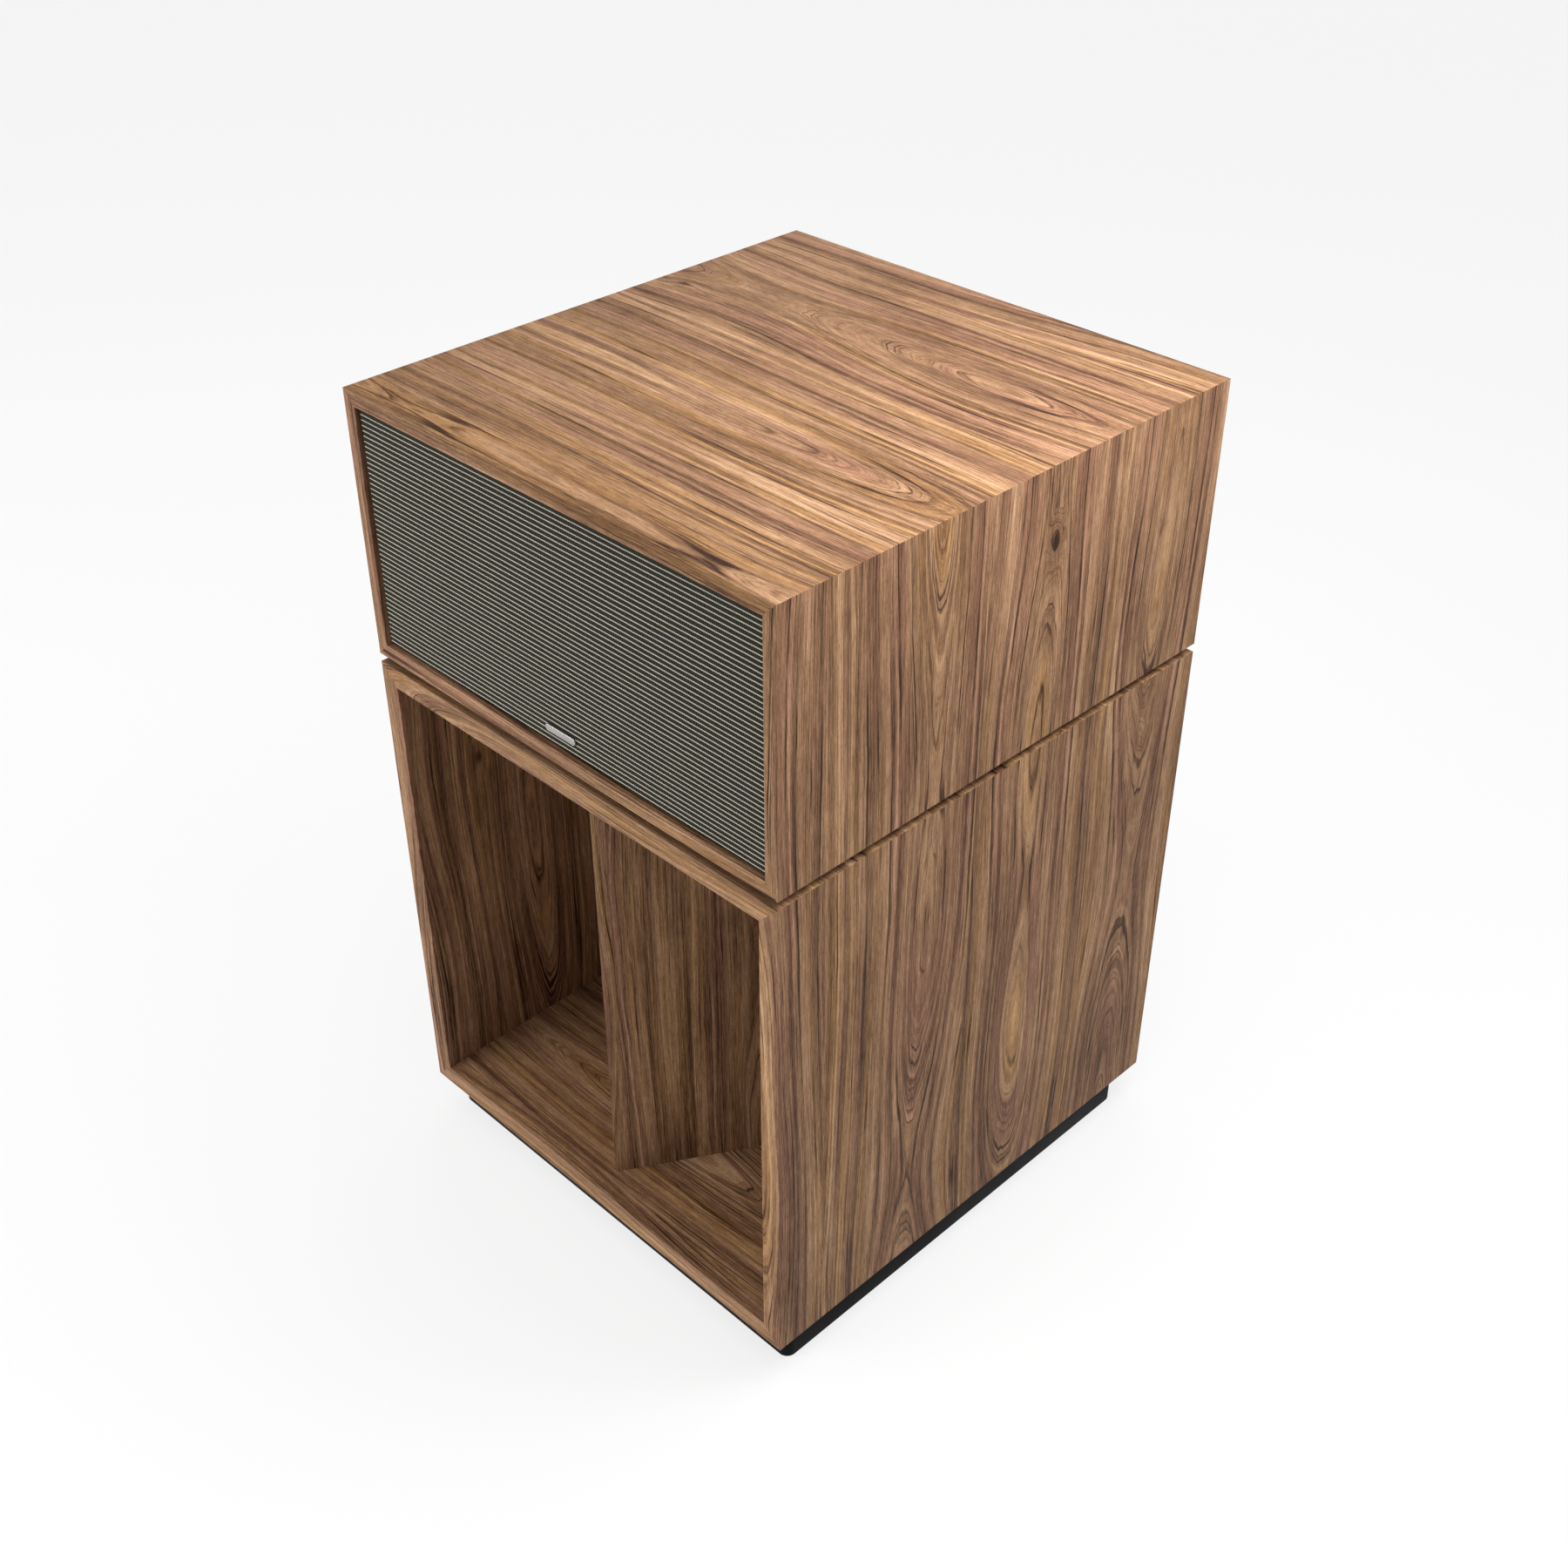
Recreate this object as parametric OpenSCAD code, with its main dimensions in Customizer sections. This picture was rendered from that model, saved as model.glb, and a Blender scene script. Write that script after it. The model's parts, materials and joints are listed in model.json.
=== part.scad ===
// Two-piece horn-loaded floor loudspeaker. The upper cabinet holds a mid horn and a tweeter horn behind a
// cloth grille. The bass bin under it folds its horn round a wedge that holds the woofer.
// The front faces -Y, +X is to the right of someone who faces the front, and +Z is up.
// The origin is on the floor under the middle of the cabinets. A depth is measured back from the front.

/* [Cabinets] */
// Width of both cabinets
unit_w = 616; // [590:1:650]
// Depth of both cabinets
unit_d = 643; // [630:1:680]
// Height of the plinth, pads included
plinth_h = 50; // [38:1:80]
// Height of the bass bin
bin_h = 615; // [600:1:660]
// Height of the shadow gap between the cabinets
gap_h = 10; // [6:1:14]
// Height of the upper cabinet
hf_h = 310; // [305:1:330]

/* [Boards] */
// Thickness of the bass bin's outer boards
bin_t = 25; // [23:0.5:27]
// Thickness of the upper cabinet's outer boards
hf_t = 16; // [15:0.5:18]
// Thickness of the motorboard, the flanks, the baffle and the hatch
inner_t = 19; // [17:0.5:20]
// Thickness of the bass bin's back
bin_back_t = 20; // [18:0.5:22]
// Thickness of the splitter and corner boards
splitter_t = 15; // [12:0.5:18]

/* [Plinth] */
// Inset of the plinth behind the front
plinth_front_inset = 24; // [15:1:40]
// Inset of the plinth at each side
plinth_side_inset = 13; // [8:1:30]
// Inset of the plinth at the back
plinth_back_inset = 28; // [15:1:40]
// Radius of the plinth's upright corners
plinth_corner_r = 12; // [4:1:25]

/* [Wedge] */
// Depth of the wedge's sharp nose
nose_depth = 32; // [25:1:40]
// Angle between a flank and the depth axis
flank_angle = 31; // [30:0.5:32]
// Length of the solid nose lipping along a flank
lipping_l = 14.5; // [10:0.5:18]
// Depth of the motorboard's front face
motorboard_depth = 430; // [424:1:434]
// Width of the throat slot
slot_w = 76; // [60:1:90]
// Height of the throat slot
slot_h = 330; // [300:1:340]

/* [Woofer] */
// Outer diameter of the woofer's flange
woofer_d = 387; // [380:1:390]
// Outer diameter of the voice coil former
former_d = 66; // [60:0.5:68]

/* [Horns] */
// Width of the mid horn's mouth
mid_mouth_w = 460; // [400:1:480]
// Height of the mid horn's mouth
mid_mouth_h = 140; // [110:1:144]
// Length of the mid horn
mid_l = 400; // [360:1:420]
// Width of the tweeter horn's mouth
tweeter_mouth_w = 120; // [100:1:140]
// Height of the tweeter horn's mouth
tweeter_mouth_h = 50; // [40:1:54]
// Length of the tweeter horn
tweeter_l = 90; // [80:1:110]

/* [Hidden] */
$fn = 64;
eps = 1;                                    // how far a cutter runs past what it cuts
half_w = unit_w / 2;
front_y = -unit_d / 2;
back_y = unit_d / 2;
bin_z0 = plinth_h;
bin_z1 = bin_z0 + bin_h;
hf_z0 = bin_z1 + gap_h;
hf_z1 = hf_z0 + hf_h;
floor_z = bin_z0 + bin_t;                   // the horn's floor
ceiling_z = bin_z1 - bin_t;                 // the horn's ceiling
channel_x = half_w - bin_t;                 // the horn's side walls
bin_rebate = 12;                            // how far the bin's back is let into the boards
hf_rebate = 8;
hf_inner_x = half_w - hf_t;
hf_floor_z = hf_z0 + hf_t;
hf_ceiling_z = hf_z1 - hf_t;
walnut = "#6b4a33";
board_brown = "#b08d62";
black = "#17171a";
brass = "#c9a24a";

// Plan geometry of the wedge, each point as [x, depth]
flank_dir = [sin(flank_angle), cos(flank_angle)];
flank_in = [-cos(flank_angle), sin(flank_angle)];
flank_start = [0, nose_depth] + lipping_l * flank_dir;
flank_across = inner_t / cos(flank_angle);
flank_end_x = (motorboard_depth - nose_depth) * tan(flank_angle);
nose_inner_depth = flank_start[1] + flank_start[0] / cos(flank_angle) * sin(flank_angle);
hollow_tip_depth = nose_depth + flank_across / tan(flank_angle);
motorboard_back = motorboard_depth + inner_t;

// Plan geometry of the rear reflector
ridge_depth = motorboard_back + 26;
splitter_end = [channel_x - 51, ridge_depth + 43];
corner_end = [channel_x, splitter_end[1] - 51];
splitter_across = splitter_t / cos(atan2(43, splitter_end[0]));
corner_across = splitter_t * sqrt(2);

// Heights of the parts behind the cabinets' faces
woofer_z = (floor_z + ceiling_z) / 2;
slot_z0 = woofer_z - slot_h / 2;
mid_z = hf_floor_z + 93;
tweeter_z = hf_ceiling_z - 49;
bass_cup_z = floor_z + 85;
hf_cup_z = hf_floor_z + 64;
badge_z = hf_z0 + 37;

// ---- shared shapes ----

// A board that runs from front to back, from its outline in X and Z and its two depths
module board(outline, depth0 = 0, depth1 = unit_d)
    translate([0, front_y + depth1, 0]) rotate([90, 0, 0])
        linear_extrude(depth1 - depth0) polygon(outline);

// An upright board, from its outline as [x, depth] and its two heights
module upright(outline, z0 = floor_z, z1 = ceiling_z)
    translate([0, front_y, z0]) linear_extrude(z1 - z0) polygon(outline);

// The right and left outlines mirrored in X
function mirrored(outline) = [for (p = outline) [-p[0], p[1]]];

// A box centred in X, from a width, two depths and two heights
module span(w, depth0, depth1, z0, z1, x = 0)
    translate([x - w / 2, front_y + depth0, z0]) cube([w, depth1 - depth0, z1 - z0]);

// A cylinder along Y between two depths
module rod(x, z, depth0, depth1, r)
    translate([x, front_y + depth0, z]) rotate([-90, 0, 0]) cylinder(r = r, h = depth1 - depth0);

// A flat rectangle with round corners, from its two corners
module round_rect(x0, y0, x1, y1, r) {
    translate([x0 + r, y0]) square([x1 - x0 - 2 * r, y1 - y0]);
    translate([x0, y0 + r]) square([x1 - x0, y1 - y0 - 2 * r]);
    for (x = [x0 + r, x1 - r])
        for (y = [y0 + r, y1 - r])
            translate([x, y]) circle(r = r);
}

// Outlines of the four mitred boards of a cabinet
function top_outline(z1, t) = [[-half_w, z1], [half_w, z1], [half_w - t, z1 - t], [t - half_w, z1 - t]];
function bottom_outline(z0, t) = [[-half_w, z0], [half_w, z0], [half_w - t, z0 + t], [t - half_w, z0 + t]];
function side_outline(z0, z1, t) = [[half_w, z0], [half_w, z1], [half_w - t, z1 - t], [half_w - t, z0 + t]];

// A cabinet's back board, let into the boards round it. As a cutter it runs past the cabinet's back.
module back_board(z0, z1, t, rebate, back_t, past)
    span(unit_w - 2 * (t - rebate), unit_d - back_t, unit_d + past, z0 + t - rebate, z1 - t + rebate);

module bin_back_board(past = 0) back_board(bin_z0, bin_z1, bin_t, bin_rebate, bin_back_t, past);
module hf_back_board(past = 0) back_board(hf_z0, hf_z1, hf_t, hf_rebate, hf_t, past);

// ---- plinth ----

plinth_pad_h = 1;
plinth_pad_r = 18;
plinth_ring_w = 50;
plinth_pad_inset = 25;
plinth_x1 = half_w - plinth_side_inset;
plinth_y0 = front_y + plinth_front_inset;
plinth_y1 = back_y - plinth_back_inset;

module plinth() color(black)
    translate([0, 0, plinth_pad_h]) linear_extrude(plinth_h - plinth_pad_h) difference() {
        round_rect(-plinth_x1, plinth_y0, plinth_x1, plinth_y1, plinth_corner_r);
        translate([plinth_ring_w - plinth_x1, plinth_y0 + plinth_ring_w])
            square([2 * (plinth_x1 - plinth_ring_w), plinth_y1 - plinth_y0 - 2 * plinth_ring_w]);
    }

module plinth_pads() color("dimgray")
    for (x = [plinth_pad_inset - plinth_x1, plinth_x1 - plinth_pad_inset])
        for (y = [plinth_y0 + plinth_pad_inset, plinth_y1 - plinth_pad_inset])
            translate([x, y, 0]) cylinder(r = plinth_pad_r, h = plinth_pad_h);

// ---- woofer access hatch, under the hollow of the wedge ----

hatch_depth0 = 165;                         // front edge of the hole that the hatch covers
hatch_depth1 = 418;
hatch_margin = 10;                          // from the wedge's hollow to the edge of the hole
hatch_lip = 20;                             // how far the hatch laps over the edge of the hole
hatch_screw_r = 2.2;
hatch_screw_head_r = 4.5;
hatch_screw_head_h = 2.6;
hatch_screw_l = 16;                         // how far a screw goes into the bin's bottom
hatch_bottom = bin_z0 - inner_t;
function hollow_x(depth) = (depth - nose_depth) * tan(flank_angle) - flank_across;
function hatch_x(depth, lip) = hollow_x(depth) - hatch_margin + lip;
function hatch_outline(lip) = [
    [-hatch_x(hatch_depth0, lip), hatch_depth0 - lip], [hatch_x(hatch_depth0, lip), hatch_depth0 - lip],
    [hatch_x(hatch_depth1, lip), hatch_depth1 + lip], [-hatch_x(hatch_depth1, lip), hatch_depth1 + lip]];
hatch_screw_line = hatch_outline(hatch_lip / 2);
// Four screws along each slanted side of the hatch and two along its back edge, each as [x, depth]
hatch_screw_places = concat(
    [for (k = [0:3], s = [-1, 1])
        let (p = hatch_screw_line[1] + k / 3 * (hatch_screw_line[2] - hatch_screw_line[1]))
        [s * p[0], p[1]]],
    [for (x = [-70, 70]) [x, hatch_screw_line[2][1]]]);

module hatch_screw_shanks()
    for (p = hatch_screw_places)
        translate([p[0], front_y + p[1], hatch_bottom])
            cylinder(r = hatch_screw_r, h = inner_t + hatch_screw_l);

module access_hatch() color(board_brown) difference() {
    upright(hatch_outline(hatch_lip), hatch_bottom, bin_z0);
    hatch_screw_shanks();
}

module hatch_screws() color("silver") {
    hatch_screw_shanks();
    for (p = hatch_screw_places)
        translate([p[0], front_y + p[1], hatch_bottom - hatch_screw_head_h])
            cylinder(r = hatch_screw_head_r, h = hatch_screw_head_h);
}

// ---- bass bin ----

module bin_bottom() color(walnut) difference() {
    board(bottom_outline(bin_z0, bin_t));
    bin_back_board(eps);
    upright(hatch_outline(0), bin_z0 - eps, floor_z + eps);
    hatch_screw_shanks();
}

module bin_top() color(walnut) difference() {
    board(top_outline(bin_z1, bin_t));
    bin_back_board(eps);
}

module bin_side() difference() {
    board(side_outline(bin_z0, bin_z1, bin_t));
    bin_back_board(eps);
}

module bin_right_side() color(walnut) bin_side();
module bin_left_side() color(walnut) mirror([1, 0, 0]) bin_side();

module bin_back() color(black) difference() {
    bin_back_board();
    cup_hole(bass_cup_z, bass_cup_h);
}

// ---- wedge ----

function flank_outline() = [
    flank_start, [flank_end_x, motorboard_depth], [flank_end_x - flank_across, motorboard_depth],
    [0, hollow_tip_depth], [0, nose_inner_depth]];

module wedge_nose() color(walnut)
    upright([[0, nose_depth], flank_start, [0, nose_inner_depth], [-flank_start[0], flank_start[1]]]);

module wedge_right_flank() color(walnut) upright(flank_outline());
module wedge_left_flank() color(walnut) upright(mirrored(flank_outline()));

module motorboard() color(board_brown) difference() {
    span(2 * flank_end_x, motorboard_depth, motorboard_back, floor_z, ceiling_z);
    span(slot_w, motorboard_depth - eps, motorboard_back + eps, slot_z0, slot_z0 + slot_h);
    woofer_screw_shanks();
    bass_wire();
}

// ---- rear reflector of the folded horn ----

ridge_glue = 0.1;                           // from the middle to each splitter board
function splitter_outline() = [
    [ridge_glue, ridge_depth], splitter_end, splitter_end + [0, splitter_across],
    [ridge_glue, ridge_depth + splitter_across]];
function corner_outline() = [
    splitter_end, corner_end, corner_end + [0, corner_across], splitter_end + [0, corner_across]];

module splitter_boards() color(board_brown) {
    difference() {
        upright(splitter_outline());
        bass_wire();
    }
    upright(mirrored(splitter_outline()));
}

module corner_boards() color(board_brown) {
    upright(corner_outline());
    upright(mirrored(corner_outline()));
}

// ---- woofer, turned to face the back. Its profiles are [radius, distance in front of the motorboard] ----

gasket_t = 3;
flange_t = 3;
flange_top = gasket_t + flange_t;
woofer_r = woofer_d / 2;
former_r = former_d / 2;
former_t = 0.8;
cone_edge = [150, 12];                      // outer edge of the cone
cone_rim_w = 4;                             // flat rim of the cone that the surround is glued to
cone_neck = 62;                             // where the cone meets the former
cone_t = 1.2;
cap_r = 45;                                 // radius of the dust cap's rim
cap_rise = 12;
cap_t = 1;
spider_seat = 70;
plate_r = 78;
magnet_r = 90;
top_plate = 100;                            // front of the magnet's top plate
magnet_top = 110;
magnet_bottom = 135;
yoke_bottom = 147;
pole_gap = 0.8;
cone_r = cone_edge[0] - cone_rim_w;
cone_slope = (cone_r - former_r) / (cone_neck - cone_edge[1]);
cap_rim = cone_edge[1] + (cone_r - cap_r) / cone_slope;
cap_sphere_r = (cap_r * cap_r + cap_rise * cap_rise) / (2 * cap_rise);
cap_centre = cap_rim - cap_rise + cap_sphere_r;
screw_circle_r = woofer_r - 9;
window_w = 64;                              // the basket's eight windows between its spokes
window_z0 = 15;
window_z1 = 61;

// A child drawn about +Z is turned to stand on the motorboard and face the back
module on_motorboard()
    translate([0, front_y + motorboard_depth, woofer_z]) rotate([90, 0, 0]) children();

module woofer_revolve(profile)
    on_motorboard() rotate_extrude($fn = 96) polygon(profile);

// Shanks (or heads) of the woofer's eight screws between two depths
module woofer_screw_rods(depth0, depth1, r)
    for (a = [22.5:45:359])
        rod(screw_circle_r * cos(a), woofer_z + screw_circle_r * sin(a), depth0, depth1, r);

module woofer_screw_shanks()
    woofer_screw_rods(motorboard_depth - flange_top, motorboard_depth + 14, 2.5);

module woofer_gasket() color("#2b2b2b") difference() {
    woofer_revolve([[174, 0], [woofer_r, 0], [woofer_r, gasket_t], [174, gasket_t]]);
    woofer_screw_shanks();
}

// The basket carries a tab that the bass wire is soldered to
tab_top = woofer_z - 131;
tab_h = 15;
module woofer_basket() color("#1e1e20") difference() {
    union() {
        woofer_revolve([[woofer_r, gasket_t], [woofer_r, flange_top], [174.5, flange_top],
            [102, spider_seat + 3], [plate_r, spider_seat + 3], [plate_r, top_plate], [36, top_plate],
            [36, top_plate - 3], [plate_r - 3, top_plate - 3], [plate_r - 3, spider_seat],
            [100.7, spider_seat], [171.5, gasket_t]]);
        span(14, motorboard_depth - 38, motorboard_depth - 26, tab_top - tab_h, tab_top, bass_wire_x);
    }
    woofer_screw_shanks();
    for (a = [0:45:315])
        on_motorboard() rotate([0, 0, a])
            translate([100, -window_w / 2, window_z0]) cube([80, window_w, window_z1 - window_z0]);
}

module woofer_magnet() color("#3a3a3c")
    woofer_revolve([[45, magnet_top], [magnet_r, magnet_top], [magnet_r, magnet_bottom], [45, magnet_bottom]]);

// Top plate, pole and back plate; the magnet ring sits between the two plates
module woofer_yoke() color("#8c8c90") {
    woofer_revolve([[former_r + pole_gap, top_plate], [plate_r, top_plate], [plate_r, magnet_top],
        [former_r + pole_gap, magnet_top]]);
    woofer_revolve([[0, top_plate - 2], [former_r - former_t - pole_gap, top_plate - 2],
        [former_r - former_t - pole_gap, magnet_bottom], [plate_r, magnet_bottom], [plate_r, yoke_bottom],
        [0, yoke_bottom]]);
}

module woofer_spider() color("#a8864e")
    woofer_revolve([[former_r, spider_seat - 3], [97, spider_seat - 3], [97, spider_seat],
        [plate_r, spider_seat], [plate_r, spider_seat - 1.5], [former_r, spider_seat - 1.5]]);

// Pleated cloth from the cone's rim to the flange's face, as points along its side nearer the motorboard
surround_t = 1.2;
surround_line = [[cone_r, cone_edge[1] - surround_t], [cone_edge[0] + 3, cone_edge[1] - surround_t],
    [157, 5.4], [161, 7], [165, 2.4], [168, gasket_t - surround_t], [173.9, gasket_t - surround_t]];
module woofer_surround() color("#202020")
    woofer_revolve(concat(surround_line,
        [for (k = [len(surround_line) - 1:-1:0]) surround_line[k] + [0, surround_t]]));

module woofer_screws() color("silver") {
    woofer_screw_shanks();
    woofer_screw_rods(motorboard_depth - flange_top - 5, motorboard_depth - flange_top, 4.5);
}

module woofer_cone() color("#3b342e")
    woofer_revolve([cone_edge, cone_edge + [0, cone_t], [cone_r, cone_edge[1] + cone_t],
        [former_r, cone_neck + cone_t], [former_r, cone_neck], [cone_r, cone_edge[1]]]);

module dust_cap() color("#2c2722")
    on_motorboard() difference() {
        translate([0, 0, cap_centre]) sphere(r = cap_sphere_r);
        translate([0, 0, cap_centre]) sphere(r = cap_sphere_r - cap_t);
        translate([-cap_sphere_r, -cap_sphere_r, cap_rim]) cube(2 * cap_sphere_r);
    }

module voice_coil() color("#b5733a")
    woofer_revolve([[former_r - former_t, cone_neck - 2], [former_r, cone_neck - 2],
        [former_r, magnet_top + 2], [former_r - former_t, magnet_top + 2]]);

// ---- terminal cups: a flush flange round a recess, with posts on its floor ----

cup_w = 92;
bass_cup_h = 58;
hf_cup_h = 98;
cup_lip = 9;
cup_lip_t = 3;
cup_wall = 2.5;
cup_depth = 32;
post_x = 20;
post_z = 20;
stud_r = 3;
stud_tip = 10.5;                            // how far the studs stay inside the cabinet's back face
washer_r = 6.5;
washer_t = 1.5;
bar_t = 2;
cap_base = cup_depth - washer_t - bar_t - 0.5;
post_cap_r = 8.5;
post_cap_l = 21;
hf_posts = [[post_x, post_z], [-post_x, post_z], [post_x, -post_z], [-post_x, -post_z]];

// A box round a cup's recess, larger by margin all round
module cup_block(margin, depth0, depth1, z, h)
    span(cup_w + 2 * margin, depth0, depth1, z - h / 2 - margin, z + h / 2 + margin);

// The hole for a cup in a back board, at height z
module cup_hole(z, h) {
    cup_block(cup_lip, unit_d - cup_lip_t, unit_d + eps, z, h);
    cup_block(cup_wall, unit_d - 2 * cup_depth, unit_d + eps, z, h);
}

module terminal_cup(z, h, posts) difference() {
    union() {
        cup_block(cup_lip, unit_d - cup_lip_t, unit_d, z, h);
        cup_block(cup_wall, unit_d - cup_depth - cup_wall, unit_d - cup_lip_t, z, h);
    }
    cup_block(0, unit_d - cup_depth, unit_d + eps, z, h);
    for (p = posts)
        rod(p[0], z + p[1], unit_d - cup_depth - cup_wall - eps, unit_d - cup_depth + eps, stud_r);
}

// Threaded studs with a washer of thickness collar_t on the cup's floor and a nut behind it
module studs(z, posts, collar_t)
    for (p = posts) {
        rod(p[0], z + p[1], unit_d - cup_depth - cup_wall - 10, unit_d - stud_tip, stud_r);
        rod(p[0], z + p[1], unit_d - cup_depth, unit_d - cup_depth + collar_t, washer_r);
        rod(p[0], z + p[1], unit_d - cup_depth - cup_wall - 4, unit_d - cup_depth - cup_wall, washer_r - 1);
    }

// A fluted screw cap with a blind bore that runs on its stud
module post_cap(x, z) difference() {
    rod(x, z, unit_d - cap_base, unit_d - cap_base + post_cap_l, post_cap_r);
    rod(x, z, unit_d - cap_base - eps, unit_d - stud_tip + 1, stud_r + 0.05);
    for (a = [0:30:330])
        rod(x + (post_cap_r + 0.5) * cos(a), z + (post_cap_r + 0.5) * sin(a),
            unit_d - cap_base + 4, unit_d - cap_base + post_cap_l + eps, 1.3);
}

bass_posts = [[post_x, 0], [-post_x, 0]];
module bass_terminal_cup() color(black) terminal_cup(bass_cup_z, bass_cup_h, bass_posts);
module bass_studs() color(brass) studs(bass_cup_z, bass_posts, washer_t + bar_t);
module bass_cap_red() color("firebrick") post_cap(-post_x, bass_cup_z);
module bass_cap_black() color("#202020") post_cap(post_x, bass_cup_z);

module hf_terminal_cup() color(black) terminal_cup(hf_cup_z, hf_cup_h, hf_posts);
module hf_studs() color(brass) studs(hf_cup_z, hf_posts, washer_t);
module hf_cap_upper_red() color("firebrick") post_cap(-post_x, hf_cup_z + post_z);
module hf_cap_upper_black() color("#202020") post_cap(post_x, hf_cup_z + post_z);
module hf_cap_lower_red() color("firebrick") post_cap(-post_x, hf_cup_z - post_z);
module hf_cap_lower_black() color("#202020") post_cap(post_x, hf_cup_z - post_z);

// Flat bars that join the upper and lower post of each pole
module jumper_bars() color(brass) difference() {
    for (x = [-post_x, post_x])
        span(9, unit_d - cup_depth + washer_t, unit_d - cup_depth + washer_t + bar_t,
            hf_cup_z - post_z - 6, hf_cup_z + post_z + 6, x);
    for (p = hf_posts)
        rod(p[0], hf_cup_z + p[1], unit_d - cup_depth, unit_d - cup_depth + 2 * bar_t + washer_t, stud_r);
}

// ---- upper cabinet ----

hf_screw_r = 1.8;
hf_screw_inset = hf_rebate / 2;
hf_screw_x = hf_inner_x + hf_screw_inset;
hf_screw_z = [hf_floor_z - hf_screw_inset, hf_ceiling_z + hf_screw_inset];
// Screws round the upper cabinet's back, each as [x, z]
hf_screw_places = concat(
    [for (x = [-200, 0, 200], z = hf_screw_z) [x, z]],
    [for (s = [-1, 1], k = [0.15, 0.5, 0.85]) [s * hf_screw_x, hf_z0 + k * hf_h]]);

hf_screw_head_t = 1.5;
module hf_screw_shanks()
    for (p = hf_screw_places)
        rod(p[0], p[1], unit_d - hf_t - 18, unit_d - hf_screw_head_t, hf_screw_r);

module hf_screw_heads()
    for (p = hf_screw_places)
        rod(p[0], p[1], unit_d - hf_screw_head_t, unit_d, 2 * hf_screw_r);

module hf_shell_cuts() {
    hf_back_board(eps);
    hf_screw_shanks();
}

module hf_top() color(walnut) difference() {
    board(top_outline(hf_z1, hf_t));
    hf_shell_cuts();
}

module hf_bottom() color(walnut) difference() {
    board(bottom_outline(hf_z0, hf_t));
    hf_shell_cuts();
}

module hf_side() difference() {
    board(side_outline(hf_z0, hf_z1, hf_t));
    hf_shell_cuts();
}

module hf_right_side() color(walnut) hf_side();
module hf_left_side() color(walnut) mirror([1, 0, 0]) hf_side();

module hf_back() color(black) difference() {
    hf_back_board();
    cup_hole(hf_cup_z, hf_cup_h);
    hf_screw_shanks();
    hf_screw_heads();
}

riser_inset = 45;
module riser() color(black)
    translate([0, 0, bin_z1]) linear_extrude(gap_h)
        round_rect(riser_inset - half_w, front_y + riser_inset, half_w - riser_inset, back_y - riser_inset, 20);

// ---- horns: a loft from a mouth with square corners to a round throat ----

horn_wall = 3;
mid_throat_r = 25;
tweeter_throat_r = 12;
baffle_depth = 22;
horn_flange_t = 5;
throat_ring_t = 8;
throat_ring_w = 14;
horn_back_depth = baffle_depth + inner_t;   // the horns' flanges sit behind the baffle
flange_back = horn_back_depth + horn_flange_t;
tweeter_back_depth = horn_back_depth + tweeter_l;
mid_back_depth = horn_back_depth + mid_l;
mid_flange_w = 17;
tweeter_flange_w = 13;

// One closed section of a horn at t = 0 (mouth) to 1 (throat), grown outwards by grow
function horn_section(w, h, l, r, t, grow, sides) =
    let (flare = pow(1 - t, 1.3),
         half_x = r * pow(w / 2 / r, flare) + grow,
         half_z = r * pow(h / 2 / r, flare) + grow,
         power = 2 + 10 * pow(1 - t, 2))
    [for (i = [0:sides - 1])
        let (a = 360 * (i + 0.5) / sides, c = cos(a), s = sin(a))
        [half_x * sign(c) * pow(abs(c), 2 / power), t * l, half_z * sign(s) * pow(abs(s), 2 / power)]];

// The faces between one row of points and the next, for rows that start at point number first
function skin_faces(first, rows, sides) = [
    for (k = [0:rows - 2], i = [0:sides - 1])
        let (a = first + k * sides + i, b = first + k * sides + (i + 1) % sides)
        each [[a, b, b + sides], [a, b + sides, a + sides]]];
function flipped(faces) = [for (f = faces) [f[0], f[2], f[1]]];

// The faces that close the gap between an inner and an outer row
function rim_faces(inner, outer, sides) = [
    for (i = [0:sides - 1])
        let (n = (i + 1) % sides)
        each [[inner + i, outer + i, outer + n], [inner + i, outer + n, inner + n]]];

// A horn with a flange of width flange round its mouth and a ring round its throat
module horn(w, h, l, r, z, flange, rings, sides) {
    steps = [for (k = [0:rings]) k / rings];
    flange_end = horn_flange_t / l;
    ring_start = 1 - throat_ring_t / l;
    middle = [for (t = steps) if (t > flange_end && t < ring_start) t];
    outer_rows = concat([[0, flange], [flange_end, flange], [flange_end, horn_wall]],
        [for (t = middle) [t, horn_wall]],
        [[ring_start, horn_wall], [ring_start, throat_ring_w], [1, throat_ring_w]]);
    inner_points = [for (t = steps) each horn_section(w, h, l, r, t, 0, sides)];
    outer_points = [for (row = outer_rows) each horn_section(w, h, l, r, row[0], row[1], sides)];
    outer_first = len(inner_points);
    faces = concat(
        skin_faces(0, len(steps), sides),
        flipped(skin_faces(outer_first, len(outer_rows), sides)),
        rim_faces(0, outer_first, sides),
        flipped(rim_faces(rings * sides, outer_first + (len(outer_rows) - 1) * sides, sides)));
    difference() {
        translate([0, front_y + horn_back_depth, z])
            polyhedron(points = concat(inner_points, outer_points), faces = faces, convexity = 8);
        horn_screw_shanks();
    }
}

// Four screws in a horn's flange, above and below its mouth, each as [x, z]
horn_screw_r = 2;
function flange_screws(w, h, z, flange) =
    [for (sx = [-1, 1], sz = [-1, 1]) [sx * 0.39 * w, z + sz * (h / 2 + flange / 2)]];
horn_screw_places = concat(
    flange_screws(mid_mouth_w, mid_mouth_h, mid_z, mid_flange_w),
    flange_screws(tweeter_mouth_w, tweeter_mouth_h, tweeter_z, tweeter_flange_w));

module horn_screw_shanks()
    for (p = horn_screw_places)
        rod(p[0], p[1], baffle_depth + 4, flange_back, horn_screw_r);

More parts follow.
